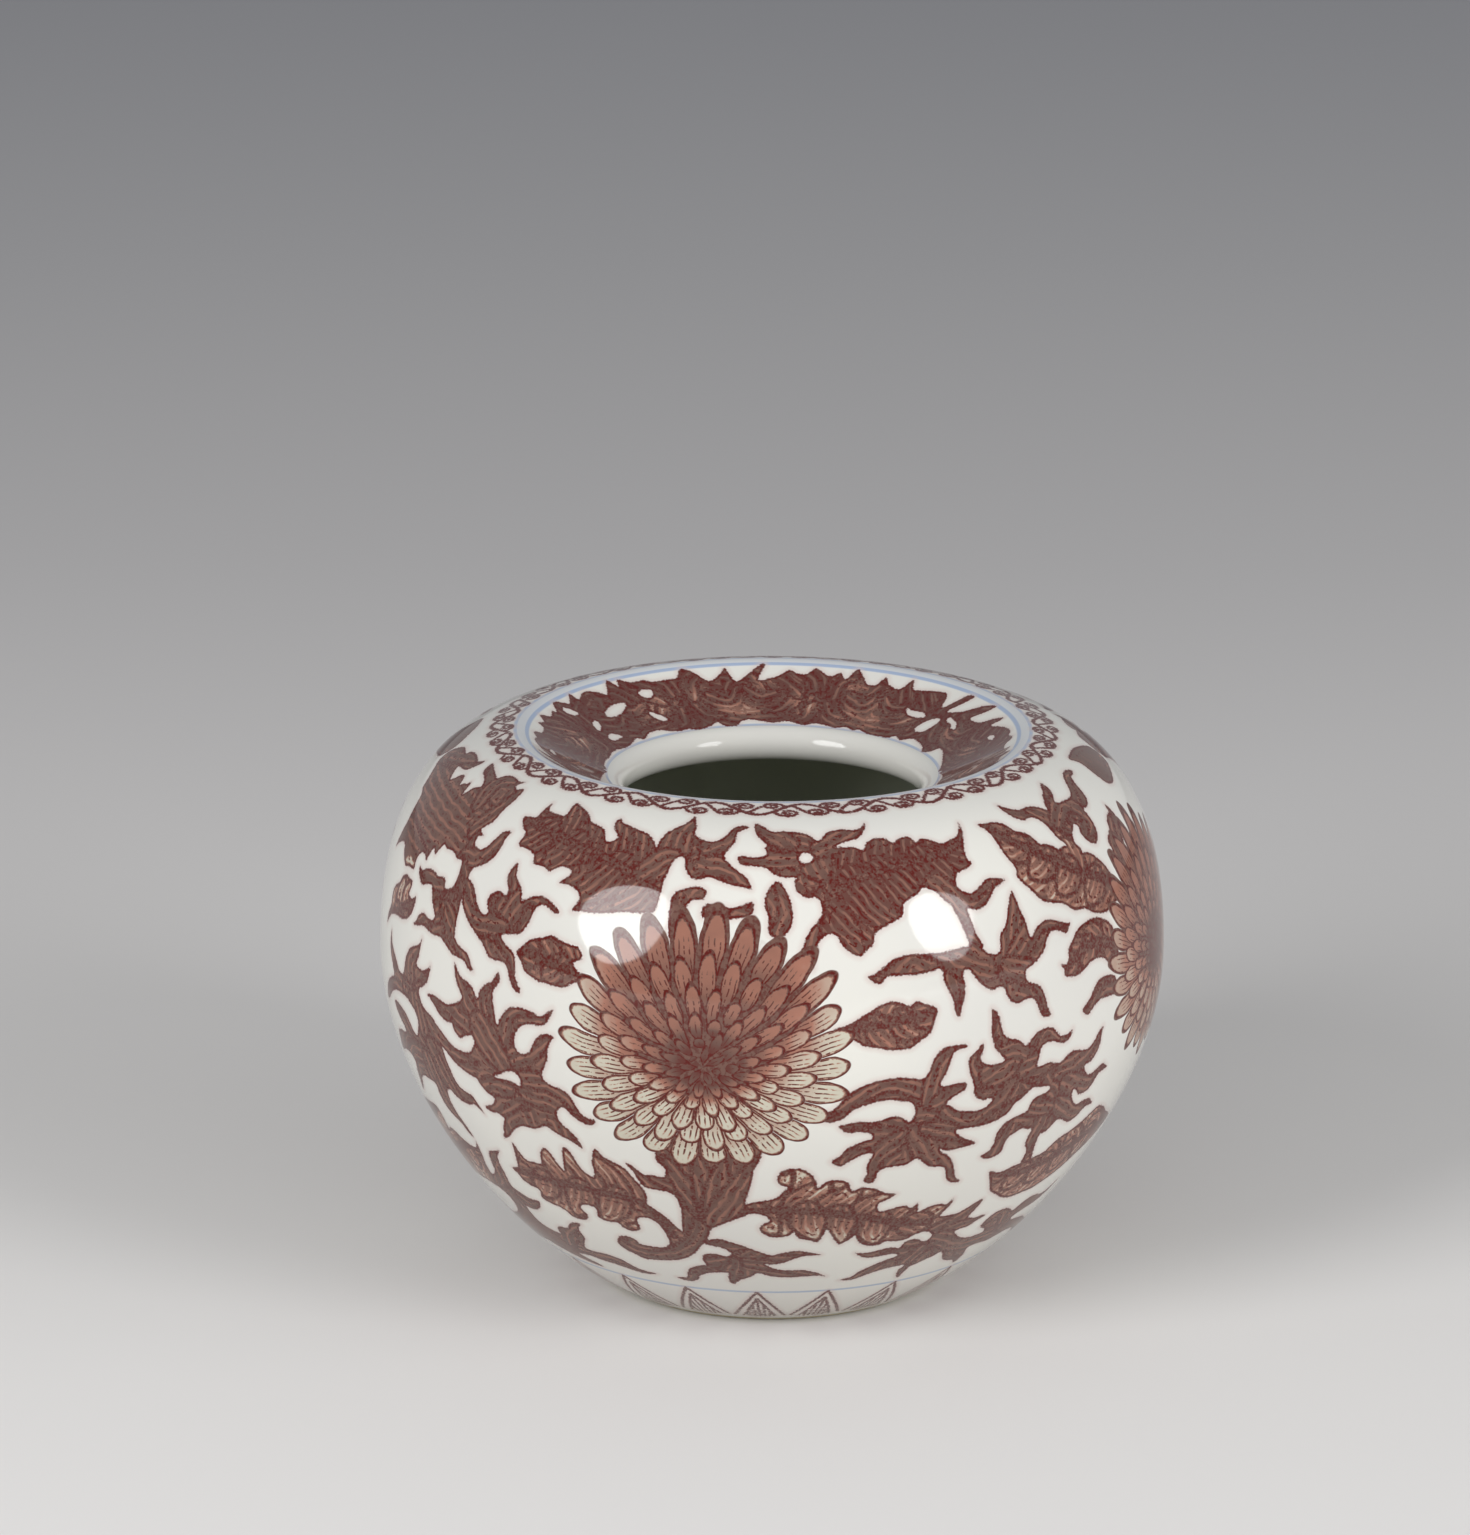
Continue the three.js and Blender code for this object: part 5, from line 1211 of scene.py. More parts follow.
# The edge wanders by a few hundredths of a millimetre, and its line breaks into dots.
wander = add(tree, MATH, {0: grain, 1: 0.5, 2: -0.25}, operation="MULTIPLY_ADD")
rough = add(tree, MATH, {0: edge, 1: wander}, operation="ADD")
smooth = dict(interpolation_type="SMOOTHSTEP")
mask = add(tree, RANGE, {0: rough, 1: -0.14, 2: 0.06}, **smooth)
line = add(tree, RANGE, {0: rough, 1: LINE_FULL, 2: LINE_END, 3: RED_LINE, 4: 0.0}, **smooth)
dots = add(tree, RANGE, {0: speck, 1: 0.38, 2: 0.54, 3: 0.8, 4: 1.0}, **smooth)
line = add(tree, MATH, {0: line, 1: dots}, operation="MULTIPLY")

# %% Streaks and clouds inside a stroke
# Streaks run along a stroke, and their phase is thrown off a little by the specks.
turn = add(tree, MATH, {0: cloud, 1: 0.9, 2: phase}, operation="MULTIPLY_ADD")
turn = add(tree, MATH, {0: turn, 1: 2 * math.pi}, operation="MULTIPLY")
wave = add(tree, MATH, {0: turn}, operation="COSINE")
pink = add(tree, RANGE, {0: wave, 1: 0.2, 2: 0.95}, **smooth)
pink = add(tree, MATH, {0: pink, 1: streak}, operation="MULTIPLY")
patchy = add(tree, RANGE, {0: cloud, 1: 0.36, 2: 0.6, 3: 0.45, 4: 1.0}, **smooth)
pink = add(tree, MATH, {0: pink, 1: patchy}, operation="MULTIPLY")
dark = add(tree, RANGE, {0: wave, 1: -0.55, 2: -0.95}, **smooth)
dark = add(tree, MATH, {0: dark, 1: streak}, operation="MULTIPLY")
sparse = add(tree, RANGE, {0: speck, 1: 0.46, 2: 0.6}, **smooth)
dark = add(tree, MATH, {0: dark, 1: sparse}, operation="MULTIPLY")

# A second and broken line follows the outline inside it, and becomes the vein of a thin lobe.
inner = add(tree, MATH, {0: rough, 1: INNER_LINE}, operation="SUBTRACT")
inner = add(tree, MATH, {0: inner}, operation="ABSOLUTE")
inner = add(tree, RANGE, {0: inner, 1: 0.08, 2: 0.26, 3: RED_LINE, 4: 0.0}, **smooth)
inner = add(tree, MATH, {0: inner, 1: sparse}, operation="MULTIPLY")

# Streaks and clouds shift the stroke's own tone, and the lines lie over it.
body = add(tree, MATH, {0: pink, 1: -0.8, 2: tone}, operation="MULTIPLY_ADD")
body = add(tree, MATH, {0: dark, 1: 0.75, 2: body}, operation="MULTIPLY_ADD")
mist = add(tree, MATH, {0: cloud, 1: 0.8, 2: -0.4}, operation="MULTIPLY_ADD")
body = add(tree, MATH, {0: body, 1: mist}, operation="ADD")
body = add(tree, MATH, {0: body, 1: inner}, operation="MAXIMUM")
darkness = add(tree, MATH, {0: body, 1: line}, operation="MAXIMUM")

# %% [markdown]
# ## Petals
# Petals stand in rings round a flower's middle, and each ring covers the one outside it. depth
# is how far a place lies inside its petal, side how far from the petal's middle line, both in
# mm, and along goes from 0 where the pointed end begins to 1 at the tip.

# %% Rings of petals
FLOWER_SIZE = 17.5        # mm from a flower's middle to its tips
PETALS = [  # petals in a ring, reach of the tips, where the pointed end begins, half width in mm
    (27, 1.0, 0.78, 1.7), (25, 0.78, 0.59, 1.5), (21, 0.59, 0.43, 1.3), (16, 0.43, 0.3, 1.1),
    (11, 0.29, 0.19, 0.85), (7, 0.17, 0.09, 0.65),
]
PETAL_SWAY = 4 * MM       # size of the waves in a petal's outline
sway = add(tree, NOISE, {"Vector": place, "Scale": 1 / PETAL_SWAY}, out="Color")
sway = add(tree, VECTOR, {0: sway, 1: (0.5, 0.5, 0.5)}, operation="SUBTRACT")
bloom = add(tree, VECTOR, {0: sway, 1: (0.04, 0.04, 0), 2: bloom}, operation="MULTIPLY_ADD")
x, y, _ = add(tree, PART, {0: bloom}).node.outputs
flat = add(tree, JOIN, {0: x, 1: y})
reach = add(tree, VECTOR, {0: flat}, out="Value", operation="LENGTH")
angle = add(tree, MATH, {0: y, 1: x}, operation="ARCTAN2")
slim = add(tree, MATH, {0: dusk, 1: -0.18, 2: 1.0}, operation="MULTIPLY_ADD")
closed = add(tree, MATH, {0: dusk, 1: -1.1}, operation="MULTIPLY")
petals = None
for ring, (count, tip, start, width) in enumerate(PETALS):
    share = {0: angle, 1: count / (2 * math.pi), 2: 0.37 * ring}
    which = add(tree, MATH, share, operation="MULTIPLY_ADD")
    which = add(tree, MATH, {0: which, 1: float(count)}, operation="FLOORED_MODULO")
    own = add(tree, MATH, {0: which}, operation="FLOOR")
    own = add(tree, "ShaderNodeTexWhiteNoise", {"W": own}, noise_dimensions="1D")
    end = add(tree, MATH, {0: own, 1: 0.09, 2: tip - 0.06}, operation="MULTIPLY_ADD")
    side = add(tree, MATH, {0: which}, operation="FRACT")
    side = add(tree, MATH, {0: side, 1: 0.5}, operation="SUBTRACT")
    pitch = {0: reach, 1: 2 * math.pi * FLOWER_SIZE / count}
    pitch = add(tree, MATH, pitch, operation="MULTIPLY")
    side = add(tree, MATH, {0: side, 1: pitch}, operation="MULTIPLY")
    half = add(tree, MATH, {0: pitch, 1: 0.49}, operation="MULTIPLY")
    half = add(tree, MATH, {0: half, 1: width}, operation="MINIMUM")
    half = add(tree, MATH, {0: half, 1: slim}, operation="MULTIPLY")
    across = add(tree, MATH, {0: side, 1: half}, operation="DIVIDE")
    along = add(tree, RANGE, {0: reach, 1: start, 2: end}, clamp=False)
    rooted = add(tree, MATH, {0: along, 1: closed}, operation="MULTIPLY")
    pointed = add(tree, MATH, {0: along, 1: rooted}, operation="MAXIMUM")
    gap = add(tree, JOIN, {0: across, 1: pointed})
    gap = add(tree, VECTOR, {0: gap}, out="Value", operation="LENGTH")
    depth = add(tree, MATH, {0: 1.0, 1: gap}, operation="SUBTRACT")
    depth = add(tree, MATH, {0: depth, 1: half}, operation="MULTIPLY")
    here = add(tree, MATH, {0: depth, 1: 0.0}, operation="GREATER_THAN")
    petal = add(tree, JOIN, {0: depth, 1: side, 2: along})
    if petals is not None:
        laid = {0: here, 4: petals, 5: petal}
        petal = add(tree, "ShaderNodeMix", laid, out=1, data_type="VECTOR")
    petals = petal
depth, side, along = add(tree, PART, {0: petals}).node.outputs
print(sum(count for count, *_ in PETALS), "petals in", len(PETALS), "rings")

# %% Lines and colour of the petals
HAIR_PITCH = 0.62         # mm between the hairlines of a petal

# Hairlines run up the inner half of a petal. Its outline is thin and broken.
hair = add(tree, MATH, {0: side, 1: 2 * math.pi / HAIR_PITCH}, operation="MULTIPLY")
hair = add(tree, MATH, {0: hair}, operation="COSINE")
hair = add(tree, RANGE, {0: hair, 1: 0.3, 2: 0.9}, **smooth)
fading = add(tree, RANGE, {0: along, 1: 0.1, 2: 0.75, 3: 1.0, 4: 0.0}, **smooth)
hair = add(tree, MATH, {0: hair, 1: fading}, operation="MULTIPLY")
broken = add(tree, RANGE, {0: speck, 1: 0.36, 2: 0.52, 3: 0.0, 4: 2.7}, **smooth)
hair = add(tree, MATH, {0: hair, 1: broken}, operation="MULTIPLY")
thin = add(tree, MATH, {0: wander, 1: 0.4, 2: depth}, operation="MULTIPLY_ADD")
thin = add(tree, RANGE, {0: thin, 1: 0.1, 2: 0.36, 3: RED_LINE, 4: 0.0}, **smooth)
thin = add(tree, MATH, {0: thin, 1: dots}, operation="MULTIPLY")
heart = add(tree, RANGE, {0: reach, 1: 0.42, 2: 0.12, 3: 0.0, 4: 0.9}, **smooth)
root = add(tree, RANGE, {0: along, 1: -0.5, 2: 0.3, 3: 0.5, 4: 0.0}, **smooth)
petal = add(tree, MATH, {0: dusk, 1: 1.25, 2: heart}, operation="MULTIPLY_ADD")
petal = add(tree, MATH, {0: petal, 1: root}, operation="ADD")
petal = add(tree, MATH, {0: mist, 1: 0.7, 2: petal}, operation="MULTIPLY_ADD")
for mark in (hair, thin):
    petal = add(tree, MATH, {0: petal, 1: mark}, operation="MAXIMUM")

# Between dusky petals lies the grey wash, which ends in scallops round the upper tips.
inside = add(tree, RANGE, {0: depth, 1: -0.03, 2: 0.03})
wash = add(tree, MATH, {0: sparse, 1: 0.6, 2: 1.9}, operation="MULTIPLY_ADD")
flower = add(tree, "ShaderNodeMix", {0: inside, 2: wash, 3: petal})
scallop = add(tree, MATH, {0: dusk, 1: 0.42, 2: depth}, operation="MULTIPLY_ADD")
scallop = add(tree, RANGE, {0: scallop, 1: 0.0, 2: 0.1}, **smooth)
filled = add(tree, MATH, {0: dusk, 1: -0.24, 2: reach}, operation="MULTIPLY_ADD")
filled = add(tree, MATH, {0: cloud, 1: 0.24, 2: filled}, operation="MULTIPLY_ADD")
middle = add(tree, RANGE, {0: filled, 1: 0.78, 2: 0.68, 3: 0.0, 4: 1.0}, **smooth)
cover = add(tree, MATH, {0: scallop, 1: middle}, operation="MAXIMUM")
cover = add(tree, MATH, {0: cover, 1: inside}, operation="MAXIMUM")
near = add(tree, MATH, {0: dusk, 1: -0.3}, operation="GREATER_THAN")
cover = add(tree, MATH, {0: cover, 1: near}, operation="MULTIPLY")
darkness = add(tree, "ShaderNodeMix", {0: cover, 2: darkness, 3: flower})
mask = add(tree, MATH, {0: mask, 1: cover}, operation="MAXIMUM")
darkness = add(tree, MATH, {0: darkness, 1: RED_LINE}, operation="DIVIDE")
paint = ramp(tree, darkness, [(0.0, CREAM), (1 / 3, SALMON), (2 / 3, WASH), (1.0, DARK)])

# %% [markdown]
# ## Cobalt rings
# Thin blue rings part the fields, and a paler band lies between the two on the crest: a blue tint,
# partly painted shade of the crest. The layers are then laid as on the jar: glaze tint, blue, the
# halo of crept copper, and the painting.

# %% Rings and layers
COBALT = "#8fa6ca"
HALO, HALO_WIDTH = "#d2bfb8", 0.9   # copper that has crept into the glaze, and how far in mm
RINGS = (  # rise, half width, strength
    (13.4, 0.14, 0.7), (93.75, 0.12, 0.7), (95.35, 0.18, 0.8), (107.2, 0.22, 0.7),
    # the last is the band on the crest: a blue tint, partly painted shade of the crest
    (94.6, 0.75, 0.25),
)
RING_SOFTNESS = 0.25                # mm
ground = add(tree, NOISE, {"Vector": place, "Scale": 1 / TINT_CLOUD, "Detail": 2.0})
ground = ramp(tree, ground, [(0.3, GLAZE_SHADE), (0.7, GLAZE)])
blue = None
for where, half_width, strength in RINGS:
    gap = add(tree, MATH, {0: height, 1: where}, operation="SUBTRACT")
    gap = add(tree, MATH, {0: gap}, operation="ABSOLUTE")
    ends = {0: gap, 1: half_width, 2: half_width + RING_SOFTNESS, 3: strength, 4: 0.0}
    ring = add(tree, RANGE, ends, **smooth)
    blue = ring if blue is None else add(tree, MATH, {0: blue, 1: ring}, operation="MAXIMUM")
creep = add(tree, RANGE, {0: edge, 1: -HALO_WIDTH, 2: 0.0, 3: 0.0, 4: 0.55}, **smooth)
for factor, tint in ((blue, linear(COBALT)), (creep, linear(HALO)), (mask, paint)):
    layers = {0: factor, 6: ground, 7: tint}
    ground = add(tree, "ShaderNodeMix", layers, out=2, data_type="RGBA")
glaze_shader(tree, place, ground, mask)
print(len(RINGS) - 1, "blue rings and a band, in", len(tree.nodes), "nodes with the painting")

# %% Bare porcelain of the foot
BISCUIT, BISCUIT_SHADE = "#c3b894", "#a89c7c"
BISCUIT_CLOUD, TURNING = 1.2 * MM, 0.9 * MM   # size of its spots, and of the marks of the wheel
bare, tree = blank("ground_bare_porcelain")
place = add(tree, "ShaderNodeTexCoord", out="Object")
cloud = add(tree, NOISE, {"Vector": place, "Scale": 1 / BISCUIT_CLOUD, "Detail": 2.0})
tint = ramp(tree, cloud, [(0.25, BISCUIT_SHADE), (0.75, BISCUIT)])
turning = {"Vector": place, "Scale": 1 / TURNING, "Distortion": 0.6}
rings = add(tree, "ShaderNodeTexWave", turning, out="Fac", wave_type="RINGS", rings_direction="Z")
relief = add(tree, "ShaderNodeBump", {"Height": rings, "Strength": 0.2, "Distance": 0.03 * MM})
clay = {"Base Color": tint, "Roughness": 0.75, "Normal": relief}
clay = add(tree, "ShaderNodeBsdfPrincipled", clay)
add(tree, "ShaderNodeOutputMaterial", {"Surface": clay})
print("materials:", [m.name for m in bpy.data.materials])

# %% [markdown]
# ## Throwing the wall
# A section of the wall is a flat face across the axis, and Spin turns it into a closed solid, as
# a wheel does. The outside has a point every 0.3 mm to carry the painting, the hidden inside only
# needs enough to look round. Each body section is made as a front and a back half, because that
# many points in one mesh would be too heavy to export whole.

# %% Inside of the wall, and spinning a section
SECTORS = 10                        # equal parts that a spin is made of
SMOOTH_ANGLE = math.radians(35)     # a sharper edge than this stays sharp
NUDGE = 1e-4                        # share of a curve over which its direction is measured


def wall_points(rises):
    """Points of the outside, (radius, height) in mm, at these rises."""
    return np.stack([at_rise(outline[:, k], rises) for k in (0, 1)], -1)


def inner_curve(points, start, end, steps):
    """A curve moved inwards by the wall's thickness, from one share of it to another."""
    share = np.linspace(start, end, steps)
    fine = curve(points, np.clip(np.stack([share - NUDGE, share, share + NUDGE]).ravel(), 0, 1))
    before, here, after = fine.reshape(3, steps, 2)
    way = after - before
    return here - WALL * turned(way / np.linalg.norm(way, axis=1, keepdims=True))


def section(name, loop):
    """A flat face with the points of loop, (radius, height) in mm, as its corners."""
    bpy.ops.object.select_all(action="DESELECT")
    bpy.ops.mesh.primitive_circle_add(vertices=len(loop), fill_type="NGON")
    piece = bpy.context.object
    piece.name = piece.data.name = name
    places = np.zeros((len(loop), 3))
    places[:, 1], places[:, 2] = -loop[:, 0] * MM, loop[:, 1] * MM
    piece.data.vertices.foreach_set("co", places.ravel())
    piece.data.update()
    return piece


def spin(piece, turn_from, turn_to, steps):
    """Turns the section about the axis. One sector is spun and then copied round, because Spin
    takes four times as long for twice the steps. The ends of a half turn are closed."""
    angle = math.radians(turn_to - turn_from)
    axis = dict(center=(0, 0, 0), axis=(0, 0, 1))
    bpy.ops.object.mode_set(mode="EDIT")
    bpy.ops.mesh.select_all(action="SELECT")
    bpy.ops.mesh.delete(type="ONLY_FACE")
    bpy.ops.mesh.select_all(action="SELECT")
    bpy.ops.mesh.spin(steps=steps // SECTORS, angle=-angle / SECTORS, use_auto_merge=False, **axis)
    bpy.ops.mesh.select_all(action="SELECT")
    bpy.ops.mesh.spin(steps=SECTORS - 1, angle=-angle * (SECTORS - 1) / SECTORS, dupli=True,
                      use_auto_merge=False, **axis)
    bpy.ops.mesh.select_all(action="SELECT")
    bpy.ops.mesh.remove_doubles(threshold=1e-6)
    bpy.ops.mesh.fill_holes(sides=0)
    bpy.ops.mesh.select_all(action="SELECT")
    bpy.ops.mesh.normals_make_consistent(inside=False)
    bpy.ops.object.mode_set(mode="OBJECT")
    piece.data.transform(Matrix.Rotation(math.radians(turn_from), 4, "Z"))
    piece.data.shade_smooth()


print("a spin is made of", SECTORS, "equal sectors")

# %% [markdown]
# ## Handing over the painting
# Each vertex of a spun outside lies on a point of the grid, so it takes the painted values from
# there. The UV map gives the painted outside most of its height. The hidden inside is a strip
# under it, and the flat faces that close a half lie in between.

# %% Reading and marking a spun mesh
def places_of(mesh):
    """The vertices, one row each."""
    values = np.empty(3 * len(mesh.vertices))
    mesh.vertices.foreach_get("co", values)
    return values.reshape(-1, 3)


def keep(mesh, name, values):
    """Stores one vector for each vertex, for the material to read."""
    layer = mesh.attributes.new(name, "FLOAT_VECTOR", "POINT")
    layer.data.foreach_set("vector", np.ascontiguousarray(values, dtype=np.float32).ravel())


def numbers(rows, name, width=None):
    """One number or vector of every vertex, corner or face, as an array."""
    values = np.empty(len(rows) * (width or 1), np.float32 if width else np.int32)
    rows.foreach_get(name, values)
    return values.reshape(-1, width) if width else values


def find_spots(mesh, loop, grid):
    """For each vertex the nearest point of loop, the grid's column, and the degrees round."""
    x, y, height = (places_of(mesh) / MM).T
    radius = np.hypot(x, y)
    row, miss = np.zeros(len(x), int), np.full(len(x), np.inf)
    for k, (r, z) in enumerate(loop):
        gap = np.hypot(radius - r, height - z)
        row[gap < miss], miss = k, np.minimum(gap, miss)
    start, end, steps = grid["turns"][0], grid["turns"][-1], len(grid["turns"]) - 1
    halfway = (start + end) / 2
    turn = np.degrees(np.arctan2(x, -y))
    turn = (turn - halfway + HALF_TURN) % WHOLE_TURN - HALF_TURN + halfway
    column = np.round((turn - start) / (end - start) * steps).astype(int)
    print(mesh.name, "sits within", round(float(miss.max()), 4), "mm of its outline")
    return row, np.clip(column, 0, steps), turn


print("attributes for the material: brush, fill and bloom")

# %% Painted values, exact normals and UV map
JAR_HEIGHT = 74.0                      # mm
UV_LEFT, UV_WIDE = 0.01, 0.98          # from one end of the piece's turn to the other
UV_OUTSIDE, UV_OUTSIDE_TALL = 0.16, 0.83
UV_INSIDE, UV_INSIDE_TALL = 0.01, 0.1
UV_CAPS, UV_CAPS_TALL = 0.115, 0.04    # the flat faces that close a half
UV_CAP_LEFT, UV_CAP_STEP = 0.02, 0.3   # each is a step further than the one before
UV_CAP_SCALE = 400                     # mm to the whole width


def unwrap(mesh, across, upwards):
    """Gives the mesh one UV map, with these places for its corners."""
    for name in [layer.name for layer in mesh.uv_layers]:
        mesh.uv_layers.remove(mesh.uv_layers[name])
    uv = mesh.uv_layers.new(name="OFBake")
    uv.data.foreach_set("uv", np.stack([across, upwards], -1).astype(np.float32).ravel())


def dress(piece, loop, grid, materials, inside_from):
    """Hands the painted values to a spun piece, and gives it exact normals and a UV map.
    The grid's rows are the first points of loop. Faces past inside_from get the second material.
    """
    mesh = piece.data
    row, column, turn = find_spots(mesh, loop, grid)
    last_row, last_column = len(grid["rises"]) - 1, len(grid["turns"]) - 1
    spot = (np.minimum(row, last_row), column)
    level = grid["rises"][spot[0]]
    keep(mesh, "brush", np.stack([grid[n][spot] for n in ("edge", "phase", "tone")], -1))
    keep(mesh, "fill", np.stack([grid["streak"][spot], grid["dusk"][spot], level], -1))
    keep(mesh, "bloom", grid["bloom"][spot])

    corner = numbers(mesh.loops, "vertex_index")
    first, count = numbers(mesh.polygons, "loop_start"), numbers(mesh.polygons, "loop_total")
    face = np.repeat(np.arange(len(first)), count)
    rows, columns = row[corner], column[corner]
    top, bottom = np.maximum.reduceat(rows, first), np.minimum.reduceat(rows, first)
    outside = (top <= last_row) & (count <= 4)
    closing = (top - bottom > len(loop) / 2) & (count <= 4)
    widest = np.maximum.reduceat(columns, first) - np.minimum.reduceat(columns, first)
    rows = np.where(closing[face] & (rows == 0), len(loop), rows)
    wraps = (widest > last_column / 2)[face]
    columns = np.where(wraps & (columns == 0), last_column, columns)

    bpy.ops.object.shade_smooth_by_angle(angle=SMOOTH_ANGLE)
    normals = numbers(mesh.corner_normals, "vector", 3)
    exact = out_of_wall(turn[corner], level[corner])
    mesh.normals_split_custom_set(np.where(outside[face][:, None], exact, normals))

    across = UV_LEFT + UV_WIDE * columns / last_column
    inwards = (rows - last_row) / (len(loop) - last_row)
    upwards = np.where(outside[face], UV_OUTSIDE + UV_OUTSIDE_TALL * rows / last_row,
                       UV_INSIDE + UV_INSIDE_TALL * inwards)
    x, y, height = (places_of(mesh)[corner] / MM).T
    cap, caps = (count > 4)[face], np.cumsum(count > 4)[face]
    cap_across = UV_CAP_LEFT + UV_CAP_STEP * caps + np.hypot(x, y) / UV_CAP_SCALE
    across = np.where(cap, cap_across, across)
    upwards = np.where(cap, UV_CAPS + height / JAR_HEIGHT * UV_CAPS_TALL, upwards)
    unwrap(mesh, across, upwards)

    for material in materials:
        mesh.materials.append(material)
    inner = (bottom >= inside_from) & (count <= 4) & ~closing
    mesh.polygons.foreach_set("material_index", inner.astype(np.int32))


def stand_for(piece, node):
    """Hides the CAD node that the piece stands for, and hangs the piece under the root body."""
    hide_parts(node)
    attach(piece, "root")
    triangles = sum(len(p.vertices) - 2 for p in piece.data.polygons)
    print(piece.name, len(piece.data.vertices), "vertices,", triangles, "triangles")


print("the painted outside takes", UV_OUTSIDE_TALL, "of the UV map's height")

# %% [markdown]
# ## Foot
# The foot is turned on the wheel when the clay is leather hard. Its contact ring is left bare, so
# that the glaze doesn't stick to the kiln shelf, and is a little buff.

# %% Foot ring
STEPS_ROUND = 520     # points round the whole foot
GLAZE_STOP = 2.0      # mm of rise under which the porcelain is bare
BARE_RISES = [0.45, 1.0, 1.5]
RECESS = [(18.6, FLOOR_UNDER), (19.4, 0.35)]   # (radius, height) in mm, hidden inside the foot
CONTACT = [(19.75, 0.0), (21.65, 0.0)]         # the ring that stands on the table

foot_grid = sheet(-HALF_TURN, HALF_TURN, GLAZE_STOP, FOOT_SEAM_RISE, STEPS_ROUND)
paint_foot(foot_grid)
foot_loop = np.vstack([
    wall_points(foot_grid["rises"]), RECESS, CONTACT, wall_points(BARE_RISES),
])
foot = section("foot_ring_turned", foot_loop)
spin(foot, -HALF_TURN, HALF_TURN, STEPS_ROUND)
dress(foot, foot_loop, foot_grid, [painted, bare], len(foot_grid["rises"]) - 1)
stand_for(foot, "foot_ring")

# %% [markdown]
# ## Bowl
# The bowl runs from the turned base to the widest part. Its wall is made in two halves and its
# flat floor is a disc inside them.

# %% Lower wall and floor
HALF_STEPS = 520      # points round half the body
FLOOR_RADIUS, FLOOR_FILLET = 24.0, 5.0   # mm
inner_low = inner_curve(lower_points, 0.2, 1.0, 15)[::-1]
inner_low = inner_low[inner_low[:, 1] > FLOOR_TOP + FLOOR_FILLET]
corner = inner_low[-1]
sweep_points = [corner, (corner[0] - FLOOR_FILLET / 2, FLOOR_TOP),
                (corner[0] - FLOOR_FILLET, FLOOR_TOP)]
sweep = curve(sweep_points, np.linspace(0, 1, 6)[1:])
HALVES = (("front", -90, 90), ("back", 90, 270))
for side, start, end in HALVES:
    grid = sheet(start, end, FOOT_SEAM_RISE, BELLY_RISE, HALF_STEPS)
    paint_scroll(grid)
    paint_foot(grid)
    loop = np.vstack([wall_points(grid["rises"]), inner_low, sweep,
                      [(FLOOR_RADIUS, FLOOR_TOP), (FLOOR_RADIUS, FLOOR_UNDER)]])
    bowl = section("lower_wall_" + side, loop)
    spin(bowl, start, end, HALF_STEPS)
    dress(bowl, loop, grid, [painted, inside_glaze], len(grid["rises"]))
    stand_for(bowl, "lower_body")

bpy.ops.object.select_all(action="DESELECT")
bpy.ops.mesh.primitive_cylinder_add(
    vertices=128, radius=FLOOR_RADIUS * MM, depth=(FLOOR_TOP - FLOOR_UNDER) * MM,
    location=(0, 0, (FLOOR_TOP + FLOOR_UNDER) / 2 * MM), end_fill_type="TRIFAN",
)
base = bpy.context.object
base.name = base.data.name = "turned_base"
bpy.ops.object.transform_apply(location=True)
bpy.ops.object.shade_smooth_by_angle(angle=SMOOTH_ANGLE)
base.data.materials.append(inside_glaze)
base.data.materials.append(plain_glaze)
for polygon in base.data.polygons:
    polygon.material_index = 1 if polygon.normal.z < -0.5 else 0
stand_for(base, "lower_body")

# %% [markdown]
# ## Dome
# The dome is thrown on its own and luted to the bowl at the widest part. It closes over the
# shoulder and turns down into the dish.

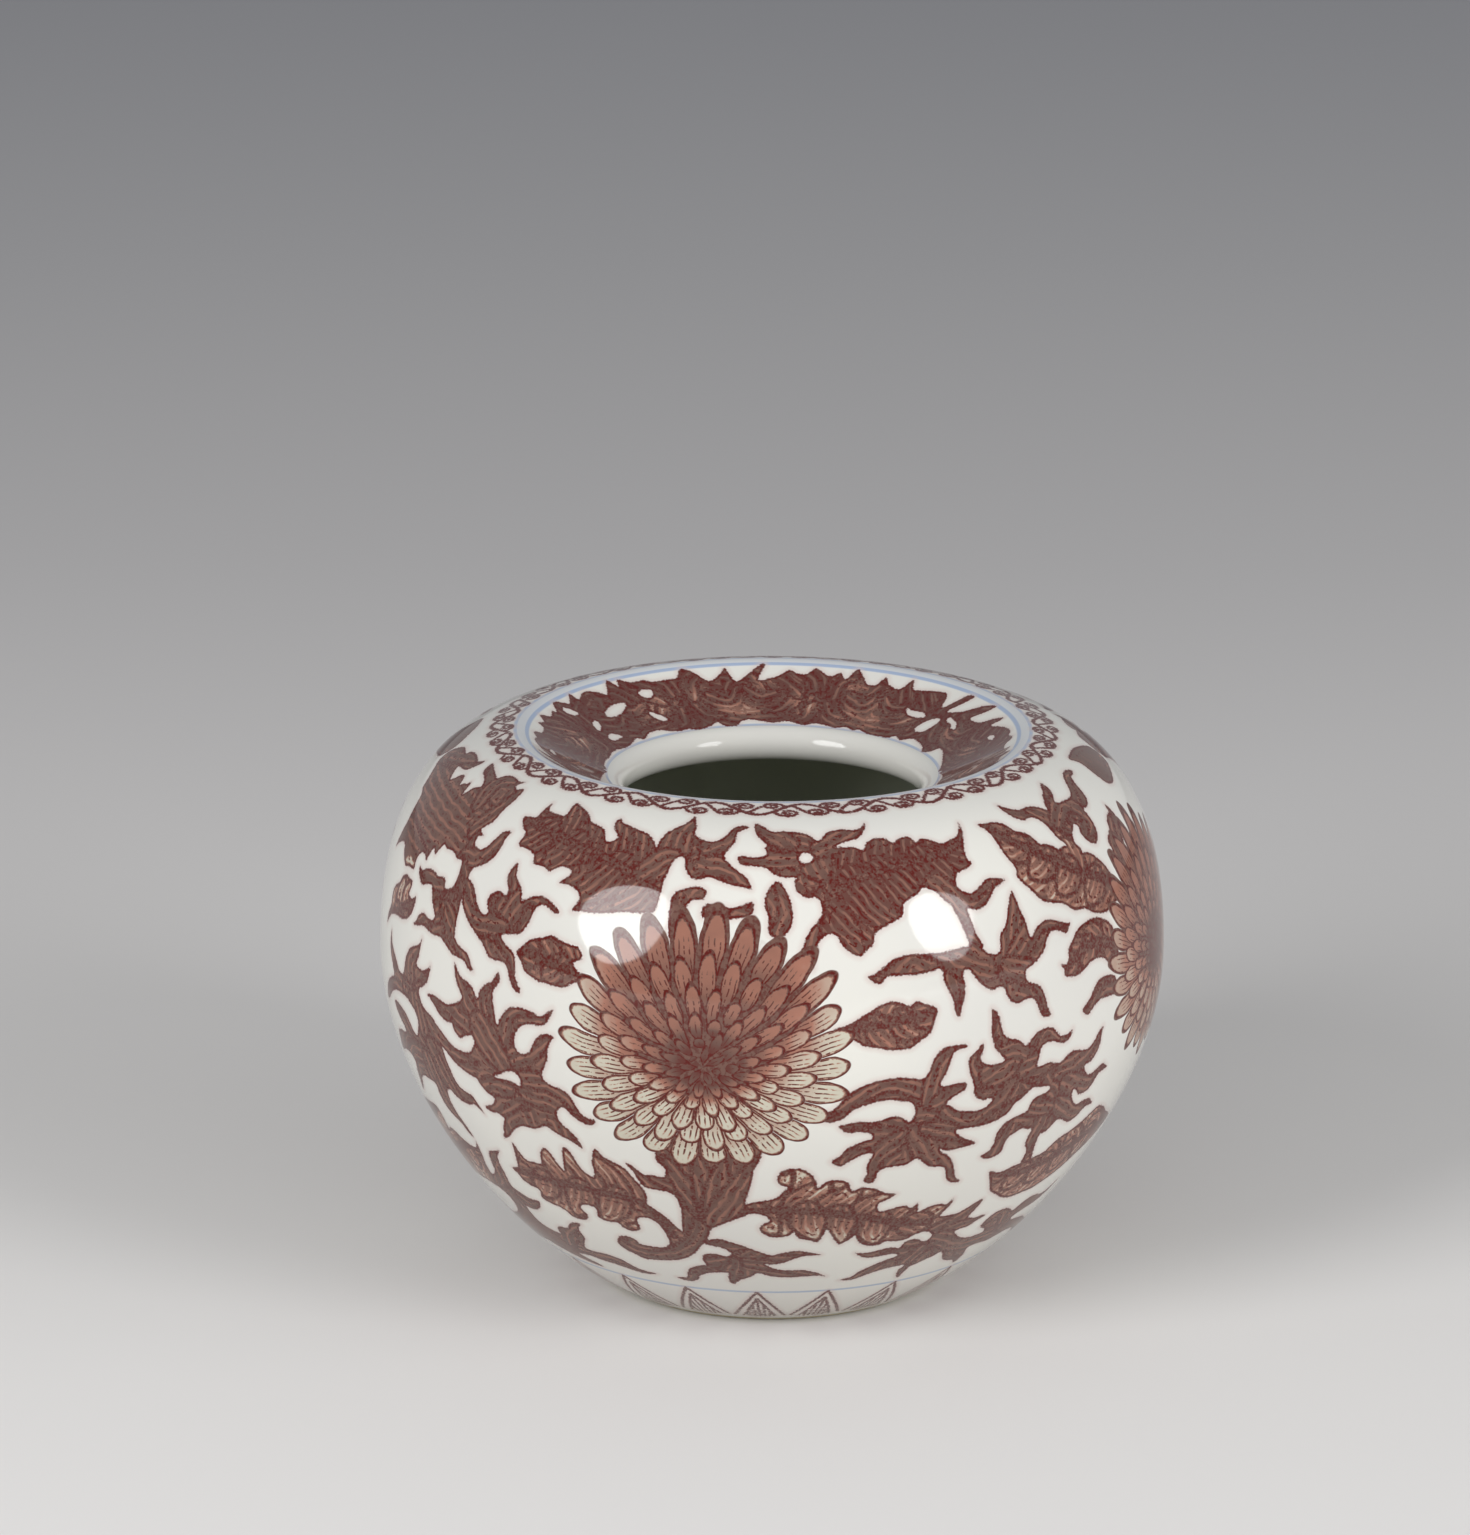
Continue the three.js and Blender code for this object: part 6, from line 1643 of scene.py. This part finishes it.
# %% Upper wall
under_way = np.array([CREST[0] - LIP[0], CREST[1] + CREST_ROUNDING - SEAT])
under_way /= np.linalg.norm(under_way)
under_start = np.array([LIP[0], SEAT]) + WALL * np.array([under_way[1], -under_way[0]])
seat_outer = under_start + under_way * (SEAT - under_start[1]) / under_way[1]
inner_high = inner_curve(upper_points, 0.0, 1.0, 18)
below = ((inner_high - under_start) @ np.array([-under_way[1], under_way[0]])) < 0
inner_high = inner_high[below]
last, before = inner_high[-1], inner_high[-2]
meet = np.linalg.solve(np.stack([under_way, before - last], -1), last - under_start)[0]
corner_high = under_start + under_way * meet
for side, start, end in HALVES:
    grid = sheet(start, end, BELLY_RISE, DISH_RISE, HALF_STEPS)
    paint_scroll(grid)
    paint_shoulder(grid)
    loop = np.vstack([wall_points(grid["rises"]), seat_outer, corner_high, inner_high[::-1]])
    dome = section("upper_wall_" + side, loop)
    spin(dome, start, end, HALF_STEPS)
    dress(dome, loop, grid, [painted, inside_glaze], len(grid["rises"]))
    stand_for(dome, "upper_body")

# %% [markdown]
# ## Lip
# The rolled lip is plain white. Its roll is a half circle, and its underside runs out in a small
# fillet to the flat seat under the dish.

# %% Rolled lip
LIP_STEPS, ROLL_POINTS = 256, 49
LIP_FILLET = 2.4      # mm
roll_line = rounded(LIP, LIP_ROUNDING, np.pi * (0.5 + np.linspace(0, 1, ROLL_POINTS)))
fillet_points = [roll_line[-1], roll_line[-1] + (LIP_FILLET, 0), seat_outer]
under = curve(fillet_points, np.linspace(0, 1, 9)[1:])
lip_piece = section("mouth_lip", np.vstack([roll_line, under]))
spin(lip_piece, -HALF_TURN, HALF_TURN, LIP_STEPS)
bpy.ops.object.shade_smooth_by_angle(angle=SMOOTH_ANGLE)
lip_piece.data.materials.append(plain_glaze)
stand_for(lip_piece, "mouth_ring")

# %% [markdown]
# ## Finish
# Standard view transform keeps the colours as written.

# %% View settings
bpy.context.scene.view_settings.view_transform = "Standard"
